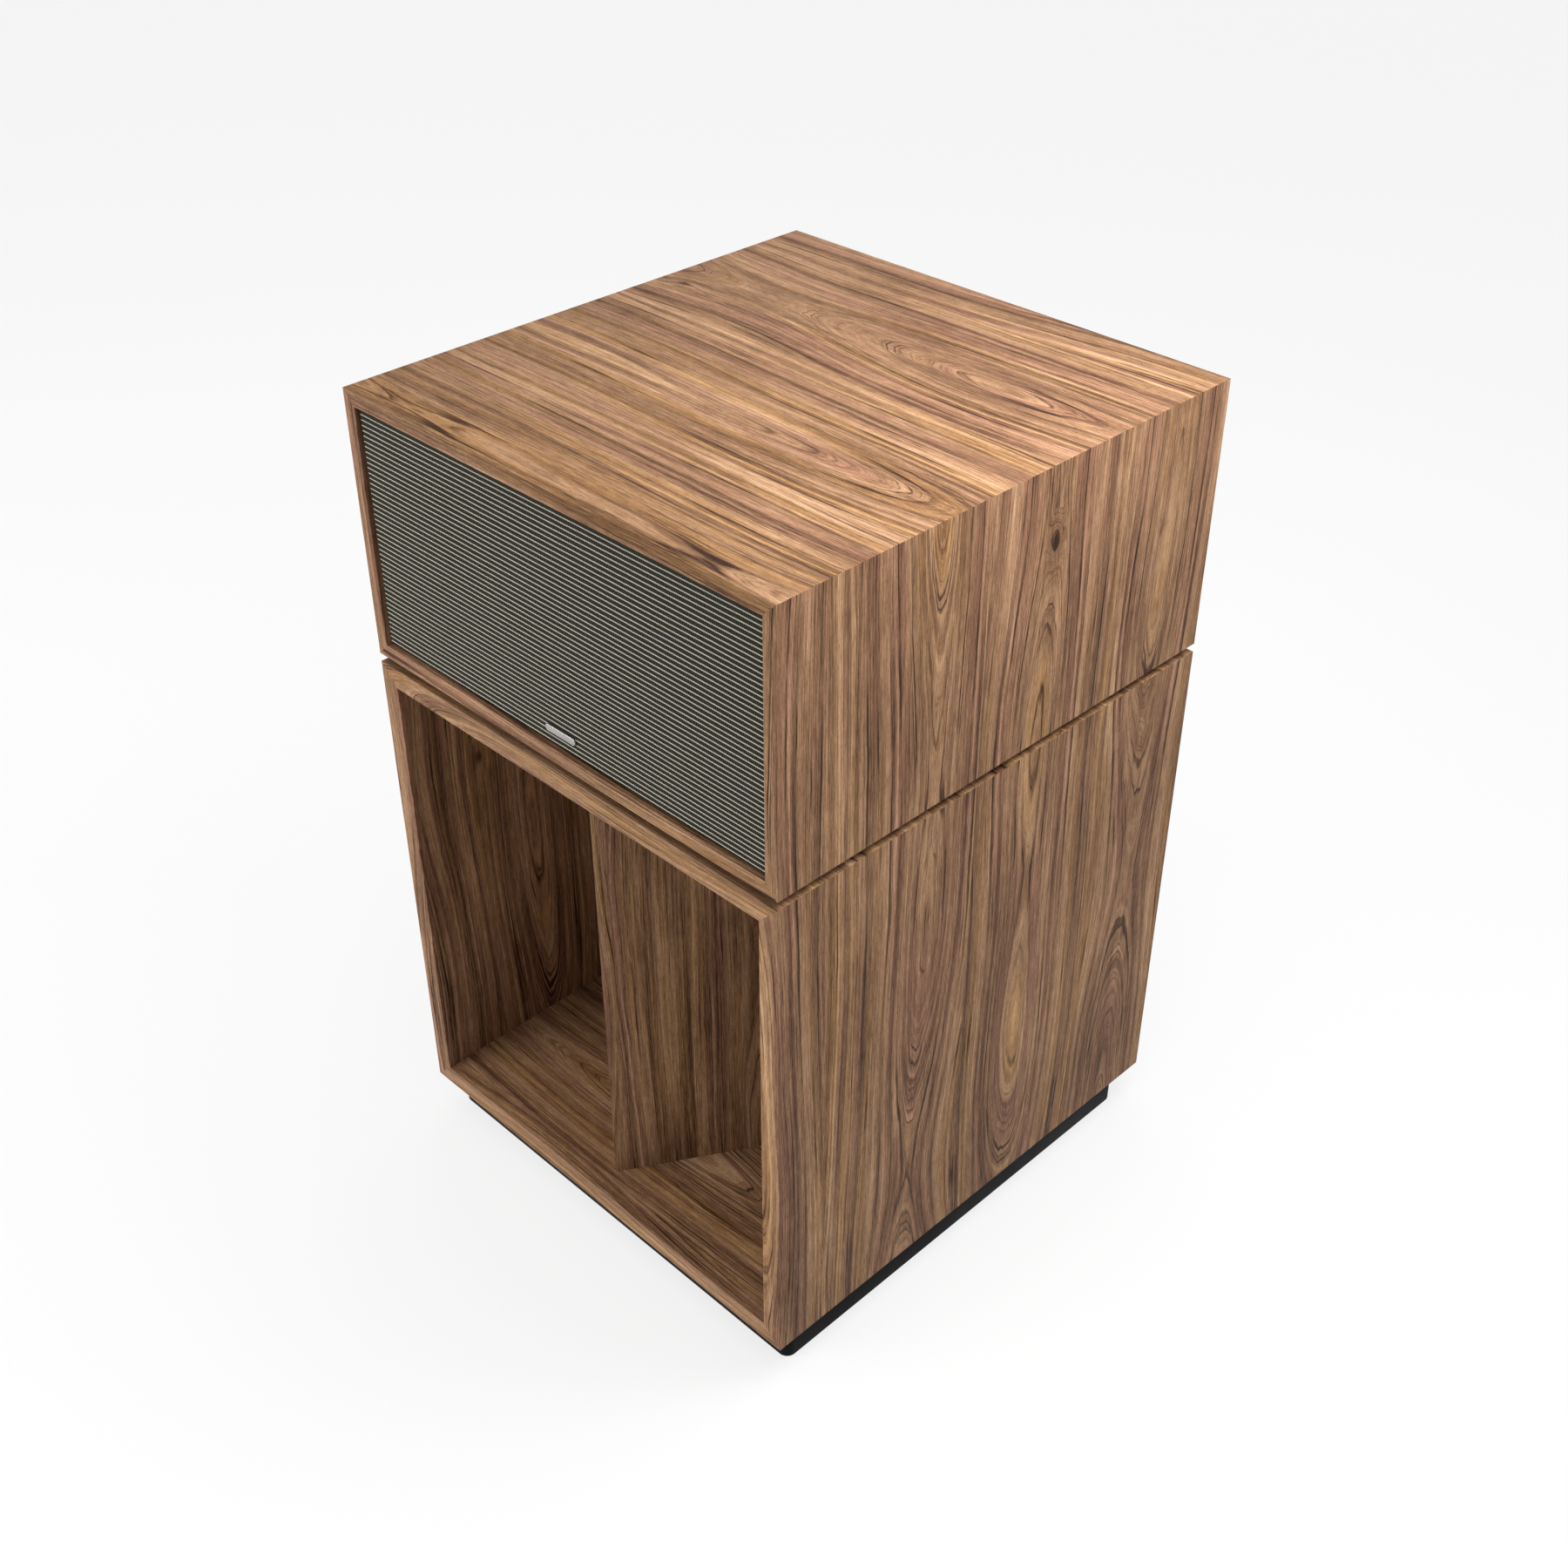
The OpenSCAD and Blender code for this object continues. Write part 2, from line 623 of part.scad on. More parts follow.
// The screws of the upper cabinet's back and of the two horns
module hf_screws() color("silver") {
    hf_screw_shanks();
    hf_screw_heads();
    horn_screw_shanks();
    for (p = horn_screw_places)
        rod(p[0], p[1], flange_back, flange_back + 2.5, 2 * horn_screw_r);
}

module mid_horn() color("#1d1d1f")
    horn(mid_mouth_w, mid_mouth_h, mid_l, mid_throat_r, mid_z, mid_flange_w, 10, 28);
module tweeter_horn() color("#1d1d1f")
    horn(tweeter_mouth_w, tweeter_mouth_h, tweeter_l, tweeter_throat_r, tweeter_z, tweeter_flange_w, 8, 20);

// ---- compression drivers. Their profiles are [radius, distance behind the horn's throat] ----

diaphragm_t = 0.8;
can_t = 2.5;
mid_driver_l = 78;
tweeter_driver_l = 44;

module driver_revolve(horn_end, z, profile)
    translate([0, front_y + horn_end, z]) rotate([-90, 0, 0]) rotate_extrude($fn = 96) polygon(profile);

// Front plate and magnet with the throat's bore through them, and a hollow can behind
module driver(horn_end, z, bore, plate_r, plate_l, body_r, body_l, can_r, l)
    driver_revolve(horn_end, z, [[bore, 0], [plate_r, 0], [plate_r, plate_l], [body_r, plate_l],
        [body_r, body_l], [can_r, body_l], [can_r, l], [0, l], [0, l - can_t], [can_r - can_t, l - can_t],
        [can_r - can_t, body_l], [bore, body_l]]);

// A shallow cone of foil in the can, clear of it all round
module diaphragm(horn_end, z, r, start, rise) {
    front = [[0, start + rise], [0.6 * r, start + 0.8 * rise], [r, start]];
    driver_revolve(horn_end, z, concat(front, [for (k = [2:-1:0]) front[k] + [0, diaphragm_t]]));
}

module mid_driver() color("#2a2a2c")
    driver(mid_back_depth, mid_z, mid_throat_r, 42, 14, 57, 42, 54, mid_driver_l);
module tweeter_driver() color("#2a2a2c")
    driver(tweeter_back_depth, tweeter_z, tweeter_throat_r, 26, 8, 38, 26, 35, tweeter_driver_l);
module mid_diaphragm() color("#c9a24a")
    diaphragm(mid_back_depth, mid_z, 48, 45, 14);
module tweeter_diaphragm() color("#c9a24a")
    diaphragm(tweeter_back_depth, tweeter_z, 29, 28.5, 7);

grille_magnet_r = 6;
grille_gap = 1.5;
grille_half_x = hf_inner_x - grille_gap;
grille_z0 = hf_floor_z + grille_gap;
grille_z1 = hf_ceiling_z - grille_gap;
grille_depth0 = 4.5;
grille_depth1 = 20;
magnet_inset = 13;                          // from the grille's edge to a magnet's axis
// Six magnets in the baffle, each faced by a steel keeper on the grille, as [x, z]
magnet_places = [for (x = [-grille_half_x + magnet_inset, 0, grille_half_x - magnet_inset],
    z = [grille_z0 + magnet_inset, grille_z1 - magnet_inset]) [x, z]];

module magnet_discs(depth0, depth1)
    for (p = magnet_places)
        rod(p[0], p[1], depth0, depth1, grille_magnet_r);

magnet_depth0 = baffle_depth - 1;
magnet_depth1 = baffle_depth + 5;

module mouth_hole(w, h, z)
    span(w, baffle_depth - eps, horn_back_depth + eps, z - h / 2, z + h / 2);

module hf_baffle() color(black) difference() {
    span(2 * hf_inner_x, baffle_depth, horn_back_depth, hf_floor_z, hf_ceiling_z);
    mouth_hole(mid_mouth_w, mid_mouth_h, mid_z);
    mouth_hole(tweeter_mouth_w, tweeter_mouth_h, tweeter_z);
    horn_screw_shanks();
    magnet_discs(magnet_depth0, magnet_depth1);
}

module grille_magnets() color("silver") magnet_discs(magnet_depth0, magnet_depth1);

// ---- crossover, on the upper cabinet's floor beside the horn ----

board_lift = 6;
board_x = 195;
board_depth0 = 320;
board_depth1 = 480;
board_t = 2;
board_top = hf_floor_z + board_lift + board_t;
coil_r = 26;
coil_bore_r = 12;
coil_h = 24;
capacitor_r = 11;
coil_places = [[172, 350], [232, 350], [232, 408]];

module crossover_board() color("#2f5d3a") {
    span(150, board_depth0, board_depth1, hf_floor_z + board_lift, board_top, board_x);
    for (x = [board_x - 67, board_x + 67])
        for (depth = [board_depth0 + 8, board_depth1 - 8])
            translate([x, front_y + depth, hf_floor_z]) cylinder(r = 4, h = board_lift);
}

module crossover_coils() color("#b5733a")
    for (p = coil_places)
        translate([p[0], front_y + p[1], board_top]) difference() {
            cylinder(r = coil_r, h = coil_h);
            translate([0, 0, -eps]) cylinder(r = coil_bore_r, h = coil_h + 2 * eps);
        }

module crossover_capacitors() color("#c8b27a")
    for (i = [0:3])
        rod(152 + 30 * i, board_top + capacitor_r, board_depth1 - 42, board_depth1 - 4, capacitor_r);

// ---- wiring: straight runs with round elbows through the points of a route ----

module wire(route, r) {
    for (i = [1:len(route) - 1]) {
        run = route[i] - route[i - 1];
        translate(route[i - 1]) rotate([0, acos(run[2] / norm(run)), atan2(run[1], run[0])])
            cylinder(r = r, h = norm(run), $fn = 24);
    }
    for (i = [1:len(route) - 2])
        translate(route[i]) sphere(r = r, $fn = 24);
}

bass_wire_r = 3;
hf_wire_r = 2;
stud_back = front_y + unit_d - cup_depth - cup_wall - 10;
bass_wire_x = 60;
bass_wire_y = stud_back - 18;
bass_wire_z = floor_z + 22;
tab_y = front_y + motorboard_depth - 32;
module bass_wire()
    wire([[post_x, stud_back, bass_cup_z], [post_x, bass_wire_y, bass_cup_z],
        [bass_wire_x, bass_wire_y, bass_wire_z], [bass_wire_x, tab_y, bass_wire_z],
        [bass_wire_x, tab_y, tab_top - tab_h]], bass_wire_r);
module bass_wiring() color("#7a1f1f") bass_wire();

hf_wire_x = 96;
hf_wire_y = stud_back - 16;
board_end_x = board_x - 60;
board_end_y = front_y + board_depth1 - 20;
board_start_y = front_y + board_depth0 + 12;
tweeter_wire_x = 20;
module hf_wiring() color("#7a1f1f") {
    wire([[post_x, stud_back, hf_cup_z + post_z], [post_x, hf_wire_y, hf_cup_z + post_z],
        [hf_wire_x, hf_wire_y, hf_cup_z + post_z], [hf_wire_x, hf_wire_y, board_top + 10],
        [hf_wire_x, board_end_y, board_top + 10], [board_end_x, board_end_y, board_top + 10],
        [board_end_x, board_end_y, board_top]], hf_wire_r);
    wire([[board_end_x, board_start_y, board_top], [board_end_x, board_start_y, tweeter_z],
        [tweeter_wire_x, board_start_y, tweeter_z],
        [tweeter_wire_x, front_y + tweeter_back_depth + tweeter_driver_l, tweeter_z]], hf_wire_r);
}

// ---- grille ----

cloth_t = 1;
grille_rail = 25;
keeper_t = 1.5;

// A box that fills the grille's outline between two depths, less an inset all round
module grille_block(inset, depth0, depth1)
    span(2 * (grille_half_x - inset), depth0, depth1, grille_z0 + inset, grille_z1 - inset);

module grille_cloth() color("#6f6c5e") difference() {
    grille_block(0, grille_depth0, grille_depth1 - cloth_t);
    grille_block(cloth_t, grille_depth0 + cloth_t, grille_depth1);
}

module grille_frame() color(black) difference() {
    grille_block(cloth_t, grille_depth0 + cloth_t, grille_depth1);
    grille_block(grille_rail, grille_depth0, grille_depth1 + eps);
    magnet_discs(grille_depth1 - keeper_t, grille_depth1 + eps);
}

module grille_keepers() color("silver") magnet_discs(grille_depth1 - keeper_t, grille_depth1);

// A plain bar with round ends
badge_l = 46;
badge_r = 4;
badge_t = 2;
module badge() color("lightgray") {
    span(badge_l - 2 * badge_r, grille_depth0 - badge_t, grille_depth0,
        badge_z - badge_r, badge_z + badge_r);
    for (x = [badge_r - badge_l / 2, badge_l / 2 - badge_r])
        rod(x, badge_z, grille_depth0 - badge_t, grille_depth0, badge_r);
}

plinth();
plinth_pads();
bin_bottom();
bin_top();
bin_left_side();
bin_right_side();
bin_back();
wedge_nose();
wedge_left_flank();
wedge_right_flank();
motorboard();
splitter_boards();
corner_boards();
woofer_basket();
woofer_gasket();
woofer_magnet();
woofer_yoke();
woofer_spider();
woofer_surround();
woofer_screws();
woofer_cone();
dust_cap();
voice_coil();
access_hatch();
hatch_screws();
bass_terminal_cup();
bass_studs();
bass_cap_red();
bass_cap_black();
bass_wiring();
riser();
hf_top();
hf_bottom();
hf_left_side();
hf_right_side();
hf_back();
hf_screws();
hf_baffle();
mid_horn();
mid_driver();
mid_diaphragm();
tweeter_horn();
tweeter_driver();
tweeter_diaphragm();
crossover_board();
crossover_coils();
crossover_capacitors();
hf_terminal_cup();
hf_studs();
jumper_bars();
hf_cap_upper_red();
hf_cap_upper_black();
hf_cap_lower_red();
hf_cap_lower_black();
hf_wiring();
grille_magnets();
grille_frame();
grille_cloth();
grille_keepers();
badge();
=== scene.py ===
"""Looks of a two-piece horn-loaded floor loudspeaker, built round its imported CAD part.

Lengths are in metres, in the part's own frame: -Y is the front, +X is to the right of someone who
faces the front, and +Z is up. MM turns millimetres into metres.
"""

import json
import math

import bmesh
import bpy
import numpy as np
from mathutils import Matrix, Vector


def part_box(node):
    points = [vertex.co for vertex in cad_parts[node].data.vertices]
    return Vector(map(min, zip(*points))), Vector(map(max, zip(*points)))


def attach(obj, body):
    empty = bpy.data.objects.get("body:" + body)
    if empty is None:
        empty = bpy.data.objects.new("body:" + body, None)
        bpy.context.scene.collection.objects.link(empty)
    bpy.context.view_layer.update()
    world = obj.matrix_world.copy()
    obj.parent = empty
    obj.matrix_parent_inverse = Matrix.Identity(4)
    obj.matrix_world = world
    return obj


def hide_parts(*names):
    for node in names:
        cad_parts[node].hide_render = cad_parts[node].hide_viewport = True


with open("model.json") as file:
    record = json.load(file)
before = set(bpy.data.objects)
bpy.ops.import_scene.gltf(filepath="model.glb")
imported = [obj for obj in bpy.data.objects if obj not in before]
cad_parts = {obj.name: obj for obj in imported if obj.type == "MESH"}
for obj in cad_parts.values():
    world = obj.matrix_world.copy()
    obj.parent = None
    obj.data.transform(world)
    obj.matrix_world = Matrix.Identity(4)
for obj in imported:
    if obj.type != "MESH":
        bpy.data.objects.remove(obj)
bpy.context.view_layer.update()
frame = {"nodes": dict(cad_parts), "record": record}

MM = 0.001
nodes = frame["nodes"]
body_of_node = {n: b for b, names in frame["record"]["behaviour"]["bodies"].items() for n in names}
slot_of_node = {s["node"]: s["material_slot"] for s in frame["record"]["subparts"]}

# ---- camera, floor and light ----

CAMERA_PLACE = (1.2916, -1.2865, 1.7792)
CAMERA_AZIMUTH = math.radians(45.28)
CAMERA_DOWN = math.radians(35.20)
CAMERA_ROLL = math.radians(-0.18)
LENS_MM = 44.64
SENSOR_MM = 36
FAR_END = 100.0
FLOOR_RADIUS = 40.0
FLOOR_WHITE = (0.16, 0.16, 0.16, 1)
FLOOR_GLOW = 0.76
SKY_TOP_FROM, SKY_TOP_FULL = 0.60, 0.95
SKY_LOW_FROM, SKY_LOW_GONE = 0.14, 0.34


def add_camera():
    data = bpy.data.cameras.new("view")
    data.lens = LENS_MM
    data.sensor_width = SENSOR_MM
    data.clip_end = FAR_END
    camera = bpy.data.objects.new("view", data)
    bpy.context.scene.collection.objects.link(camera)
    turn = Matrix.Rotation(CAMERA_AZIMUTH, 4, "Z") @ Matrix.Rotation(math.pi / 2 - CAMERA_DOWN, 4, "X")
    camera.matrix_world = Matrix.Translation(CAMERA_PLACE) @ turn @ Matrix.Rotation(CAMERA_ROLL, 4, "Z")
    bpy.context.scene.camera = camera


def add_floor():
    mesh = bpy.data.meshes.new("floor")
    shape = bmesh.new()
    bmesh.ops.create_circle(shape, cap_ends=True, radius=FLOOR_RADIUS, segments=96)
    shape.to_mesh(mesh)
    shape.free()
    floor = bpy.data.objects.new("floor", mesh)
    bpy.context.scene.collection.objects.link(floor)
    paper = Shade("floor_paper")
    paper.surface(color=FLOOR_WHITE, roughness=0.9)
    paper.bsdf.inputs["Specular IOR Level"].default_value = 0.0
    paper.bsdf.inputs["Emission Color"].default_value = (1, 1, 1, 1)
    paper.bsdf.inputs["Emission Strength"].default_value = FLOOR_GLOW
    floor.data.materials.append(paper.material)


def add_area_light(name, place, target, size, power, color=(1, 1, 1)):
    data = bpy.data.lights.new(name, "AREA")
    data.shape = "RECTANGLE"
    data.size, data.size_y = size
    data.energy = power
    data.color = color
    light = bpy.data.objects.new(name, data)
    bpy.context.scene.collection.objects.link(light)
    light.visible_camera = False
    aim = (Vector(target) - Vector(place)).to_track_quat("-Z", "Y")
    light.matrix_world = Matrix.Translation(place) @ aim.to_matrix().to_4x4()


def add_sky(zenith, between, horizon):
    """A soft dome: brightest overhead, pale again low down, and dim between the two."""
    world = bpy.data.worlds.new("studio")
    bpy.context.scene.world = world
    world.use_nodes = True
    tree = world.node_tree
    place = tree.nodes.new("ShaderNodeTexCoord")
    split = tree.nodes.new("ShaderNodeSeparateXYZ")
    tree.links.new(place.outputs["Generated"], split.inputs[0])
    total = tree.nodes.new("ShaderNodeMath")
    top = (SKY_TOP_FROM, SKY_TOP_FULL, between, zenith)
    low = (SKY_LOW_FROM, SKY_LOW_GONE, horizon, 0.0)
    for slot_number, limits in enumerate((top, low)):
        ramp = tree.nodes.new("ShaderNodeMapRange")
        ramp.interpolation_type = "SMOOTHSTEP"
        for key, value in zip(("From Min", "From Max", "To Min", "To Max"), limits):
            ramp.inputs[key].default_value = value
        tree.links.new(split.outputs["Z"], ramp.inputs["Value"])
        tree.links.new(ramp.outputs[0], total.inputs[slot_number])
    tree.links.new(total.outputs[0], tree.nodes["Background"].inputs["Strength"])
    tree.nodes["Background"].inputs["Color"].default_value = (1, 1, 1, 1)


# ---- shader building ----


class Shade:
    """A material in the making. Its methods take sockets or plain numbers and give back a socket."""

    def __init__(self, name):
        self.material = bpy.data.materials.new(name)
        self.material.use_nodes = True
        self.tree = self.material.node_tree
        self.bsdf = self.tree.nodes["Principled BSDF"]

    def put(self, socket, value):
        if isinstance(value, bpy.types.NodeSocket):
            self.tree.links.new(value, socket)
        else:
            socket.default_value = value

    def node(self, kind, inputs=(), **settings):
        made = self.tree.nodes.new("ShaderNode" + kind)
        for key, value in settings.items():
            setattr(made, key, value)
        for key, value in dict(inputs).items():
            self.put(made.inputs[key], value)
        return made

    def math(self, operation, a, b=0.0, c=0.0, clamp=False):
        return self.node("Math", {0: a, 1: b, 2: c}, operation=operation, use_clamp=clamp).outputs[0]

    def scaled(self, value, gain, offset=0.0):
        return self.math("MULTIPLY_ADD", value, gain, offset)

    def place(self):
        """The place of a point in the part's frame, at rest."""
        return self.node("TexCoord").outputs["Object"]

    def split(self, vector):
        return self.node("SeparateXYZ", {0: vector}).outputs[:3]

    def join(self, x, y, z=0.0):
        return self.node("CombineXYZ", {0: x, 1: y, 2: z}).outputs[0]

    def stretched(self, vector, scale):
        return self.node("VectorMath", {0: vector, 1: scale}, operation="MULTIPLY").outputs[0]

    def noise(self, vector, scale=1.0, detail=2.0, roughness=0.5, distortion=0.0, dimensions="3D"):
        made = self.node("TexNoise", noise_dimensions=dimensions)
        self.put(made.inputs["W" if dimensions == "1D" else "Vector"], vector)
        for key, value in (("Scale", scale), ("Detail", detail), ("Roughness", roughness),
                           ("Distortion", distortion)):
            self.put(made.inputs[key], value)
        return made.outputs[0]

    def map(self, value, low, high, to_low=0.0, to_high=1.0, smooth=True):
        kind = "SMOOTHSTEP" if smooth else "LINEAR"
        return self.node(
            "MapRange",
            {"Value": value, "From Min": low, "From Max": high, "To Min": to_low, "To Max": to_high},
            interpolation_type=kind,
        ).outputs[0]

    def ramp(self, value, stops):
        made = self.node("ValToRGB", {0: value})
        while len(made.color_ramp.elements) < len(stops):
            made.color_ramp.elements.new(0.5)
        for element, (position, color) in zip(made.color_ramp.elements, stops):
            element.position = position
            element.color = (*color, 1)
        return made.outputs[0]

    def mix(self, share, a, b, blend="MIX"):
        made = self.node("Mix", data_type="RGBA", blend_type=blend, clamp_factor=True)
        for key, value in ((0, share), (6, a), (7, b)):
            self.put(made.inputs[key], value)
        return made.outputs[2]

    def bump(self, height, distance, strength=1.0, normal=None):
        made = self.node("Bump", {"Height": height, "Distance": distance, "Strength": strength})
        if normal is not None:
            self.put(made.inputs["Normal"], normal)
        return made.outputs[0]

    def surface(self, color=None, roughness=None, normal=None, metallic=None):
        for key, value in (("Base Color", color), ("Roughness", roughness), ("Normal", normal),
                           ("Metallic", metallic)):
            if value is not None:
                self.put(self.bsdf.inputs[key], value)


def srgb(r, g, b):
    """A colour of 0 to 255 per channel as the linear values that a shader takes."""
    return tuple((c / 255 / 12.92) if c < 11 else (((c / 255) + 0.055) / 1.055) ** 2.4 for c in (r, g, b))


# ---- walnut veneer, drawn in the map "grain": u runs along the grain and v across it, in metres ----

LEAF_W = 0.215
RING_W = 0.0040
WALNUT_TONES = [
    (0.00, srgb(42, 26, 17)),
    (0.25, srgb(78, 54, 38)),
    (0.50, srgb(117, 87, 63)),
    (0.75, srgb(150, 117, 88)),
    (1.00, srgb(180, 147, 114)),
]


def walnut(name="walnut_veneer", lift=0.0):
    """Sliced walnut. A lift above 0 gives a paler leaf."""
    wood = Shade(name)
    grain = wood.node("UVMap", uv_map="grain").outputs[0]
    u, v, _ = wood.split(grain)

    # Each leaf of veneer is cut at its own distance from the tree's pith, which wanders along the leaf.
    leaf = wood.math("FLOOR", wood.math("DIVIDE", v, LEAF_W))
    chance = wood.node("TexWhiteNoise", {"W": leaf}, noise_dimensions="1D").outputs["Color"]
    chance_a, chance_b, chance_c = wood.split(chance)
    middle = wood.scaled(wood.math("ADD", leaf, wood.scaled(chance_a, 0.4, 0.3)), LEAF_W)
    wander = wood.noise(wood.math("ADD", wood.scaled(u, 1.3), wood.scaled(chance_b, 60)), detail=1,
                        dimensions="1D")
    across = wood.math("ADD", wood.math("SUBTRACT", v, middle), wood.scaled(wander, 0.040, -0.020))
    rise = wood.noise(wood.math("ADD", wood.scaled(u, 1.2), wood.scaled(chance_c, 90)), detail=1,
                      dimensions="1D")
    depth = wood.math("ADD", wood.scaled(rise, 0.110, -0.035), wood.scaled(chance_b, 0.015))
    radius = wood.math("SQRT", wood.math("MULTIPLY_ADD", across, across, wood.math("MULTIPLY", depth, depth)))

    # Slow waves and a fine wobble keep the rings from being true curves.
    wave = wood.noise(wood.join(wood.scaled(u, 2.6), wood.scaled(v, 16), chance_a), detail=3, dimensions="3D")
    wobble = wood.noise(wood.join(wood.scaled(u, 14), wood.scaled(v, 120)), detail=2, dimensions="2D")
    radius = wood.math("ADD", radius, wood.scaled(wave, 0.012))
    radius = wood.math("ADD", radius, wood.scaled(wobble, 0.0014))

    # A few small knots push the rings aside.
    spots = wood.node("TexVoronoi", {"Vector": wood.join(wood.scaled(u, 3.1), wood.scaled(v, 6.2)),
                                     "Scale": 1.0}, voronoi_dimensions="2D")
    chosen = wood.math("GREATER_THAN", wood.split(spots.outputs["Color"])[0], 0.84)
    near = wood.math("MULTIPLY", wood.map(spots.outputs["Distance"], 0.13, 0.0), chosen)
    radius = wood.math("ADD", radius, wood.scaled(near, 0.006))
    rings = wood.math("DIVIDE", radius, RING_W)

    # Colour follows the rings in broad bands and fine streaks, with a dark line at the end of some years.
    band = wood.noise(wood.scaled(rings, 0.22), detail=3, roughness=0.62, dimensions="1D")
    streak = wood.noise(wood.join(wood.scaled(rings, 1.5), wood.scaled(u, 2.0)), detail=5, roughness=0.74,
                        dimensions="2D")
    straight = wood.noise(wood.join(wood.scaled(u, 2.2), wood.scaled(v, 70)), detail=6, roughness=0.76,
                          dimensions="2D")
    fibre = wood.noise(wood.join(wood.scaled(u, 40), wood.scaled(v, 900)), detail=3, roughness=0.7,
                       dimensions="2D")
    cloud = wood.noise(wood.join(wood.scaled(u, 3.0), wood.scaled(v, 14)), detail=4, roughness=0.65,
                       dimensions="2D")
    tone = wood.math("ADD", wood.scaled(band, 1.05, -0.525), wood.scaled(streak, 0.90, -0.45))
    tone = wood.math("ADD", tone, wood.scaled(straight, 0.70, -0.35))
    tone = wood.math("ADD", tone, wood.scaled(fibre, 0.75, -0.375))
    tone = wood.math("ADD", tone, wood.scaled(cloud, 0.45, -0.225))
    tone = wood.math("ADD", tone, 0.58 + lift)

    # Hairlines run along the rings, each fading in and out.
    for density, strength, seed in ((0.9, 0.42, 5.0), (2.1, 0.30, 31.0)):
        course = wood.noise(wood.join(wood.scaled(rings, density, seed), wood.scaled(u, 1.1)), detail=1,
                            dimensions="2D")
        away = wood.math("ABSOLUTE", wood.math("SUBTRACT", course, 0.5))
        hair = wood.map(away, 0.034, 0.004)
        fade = wood.noise(wood.join(wood.scaled(u, 4.0, seed), wood.scaled(rings, 0.5)), detail=3,
                          dimensions="2D")
        hair = wood.math("MULTIPLY", hair, wood.map(fade, 0.40, 0.60, 0.0, strength))
        tone = wood.math("SUBTRACT", tone, hair)
    tone = wood.math("SUBTRACT", tone, wood.scaled(wood.math("POWER", near, 9.0), 0.5))
    color = wood.ramp(tone, WALNUT_TONES)

    hue = wood.noise(wood.join(wood.scaled(u, 0.9), wood.scaled(rings, 0.30), chance_b), detail=3,
                     roughness=0.6)
    purple = wood.mix(1.0, color, (0.86, 0.76, 0.86, 1), "MULTIPLY")
    golden = wood.mix(1.0, color, (1.04, 0.98, 0.74, 1), "MULTIPLY")
    color = wood.mix(wood.map(hue, 0.50, 0.62, 0.0, 0.75), color, purple)
    color = wood.mix(wood.map(hue, 0.49, 0.38, 0.0, 0.70), color, golden)

    # Open pores: short dark dashes along the grain.
    pore = wood.noise(wood.join(wood.scaled(u, 150), wood.scaled(v, 1600)), detail=1, dimensions="2D")
    pore = wood.map(pore, 0.58, 0.72)
    in_pore = wood.mix(1.0, color, (0.42, 0.38, 0.36, 1), "MULTIPLY")
    color = wood.mix(wood.scaled(pore, 0.5), color, in_pore)

    shimmer = wood.noise(wood.join(wood.scaled(u, 60), wood.scaled(v, 30)), detail=3, dimensions="2D")
    roughness = wood.math("ADD", wood.scaled(shimmer, 0.20, 0.38), wood.scaled(pore, 0.10))
    height = wood.math("ADD", wood.scaled(pore, -1.0), wood.scaled(fibre, 0.25))
    wood.surface(color=color, roughness=roughness, normal=wood.bump(height, 0.06 * MM, 0.6))
    wood.bsdf.inputs["Specular IOR Level"].default_value = 0.06
    return wood.material


# ---- end of walnut ----


# ---- paints, plastics, metals, boards and cloths ----


def darker(color, share):
    return tuple(c * share for c in color)


def two_tone(shade, value, low, high, color, share):
    """The colour itself, going to a darker share of it where value is low."""
    return shade.ramp(shade.map(value, low, high), [(0.0, darker(color, share)), (1.0, color)])


def painted(name, color, roughness, grain=900, depth=0.02, shine=0.03):
    """Sprayed satin paint: a fine orange peel, slow changes of gloss, and a little settled dust."""
    paint = Shade(name)
    place = paint.place()
    peel = paint.noise(place, grain, detail=2, roughness=0.5)
    patch = paint.noise(place, 9, detail=4, roughness=0.6)
    dust = paint.map(paint.noise(place, 2300, detail=1), 0.70, 0.78)
    dust = paint.math("MULTIPLY", dust, paint.map(patch, 0.35, 0.65))
    coat = two_tone(paint, patch, 0.3, 0.7, color, 0.82)
    coat = paint.mix(paint.scaled(dust, 0.08), coat, (0.12, 0.11, 0.10, 1))
    gloss = paint.map(patch, 0.3, 0.7, roughness - 0.05, roughness + 0.07)
    paint.surface(color=coat, roughness=paint.math("ADD", gloss, paint.scaled(dust, 0.2)),
                  normal=paint.bump(peel, depth * MM, 0.7))
    paint.bsdf.inputs["Specular IOR Level"].default_value = shine
    return paint.material


def moulded(name, color, roughness, grain=1500, clear=0.0):
    """Moulded plastic with an etched texture, faint flow marks and some handling shine."""
    plastic = Shade(name)
    place = plastic.place()
    cells = plastic.node("TexVoronoi", {"Vector": place, "Scale": grain}).outputs["Distance"]
    flow = plastic.noise(plastic.stretched(place, (14, 60, 30)), 1.0, detail=4, roughness=0.6, distortion=1.5)
    rubbed = plastic.noise(place, 45, detail=3)
    gloss = plastic.math("ADD", plastic.map(rubbed, 0.35, 0.65, roughness - 0.07, roughness + 0.06),
                         plastic.scaled(cells, 0.08))
    plastic.surface(color=two_tone(plastic, flow, 0.3, 0.7, color, 0.80), roughness=gloss,
                    normal=plastic.bump(cells, 0.03 * MM, 0.6))
    plastic.bsdf.inputs["Transmission Weight"].default_value = clear
    plastic.bsdf.inputs["IOR"].default_value = 1.49
    return plastic.material


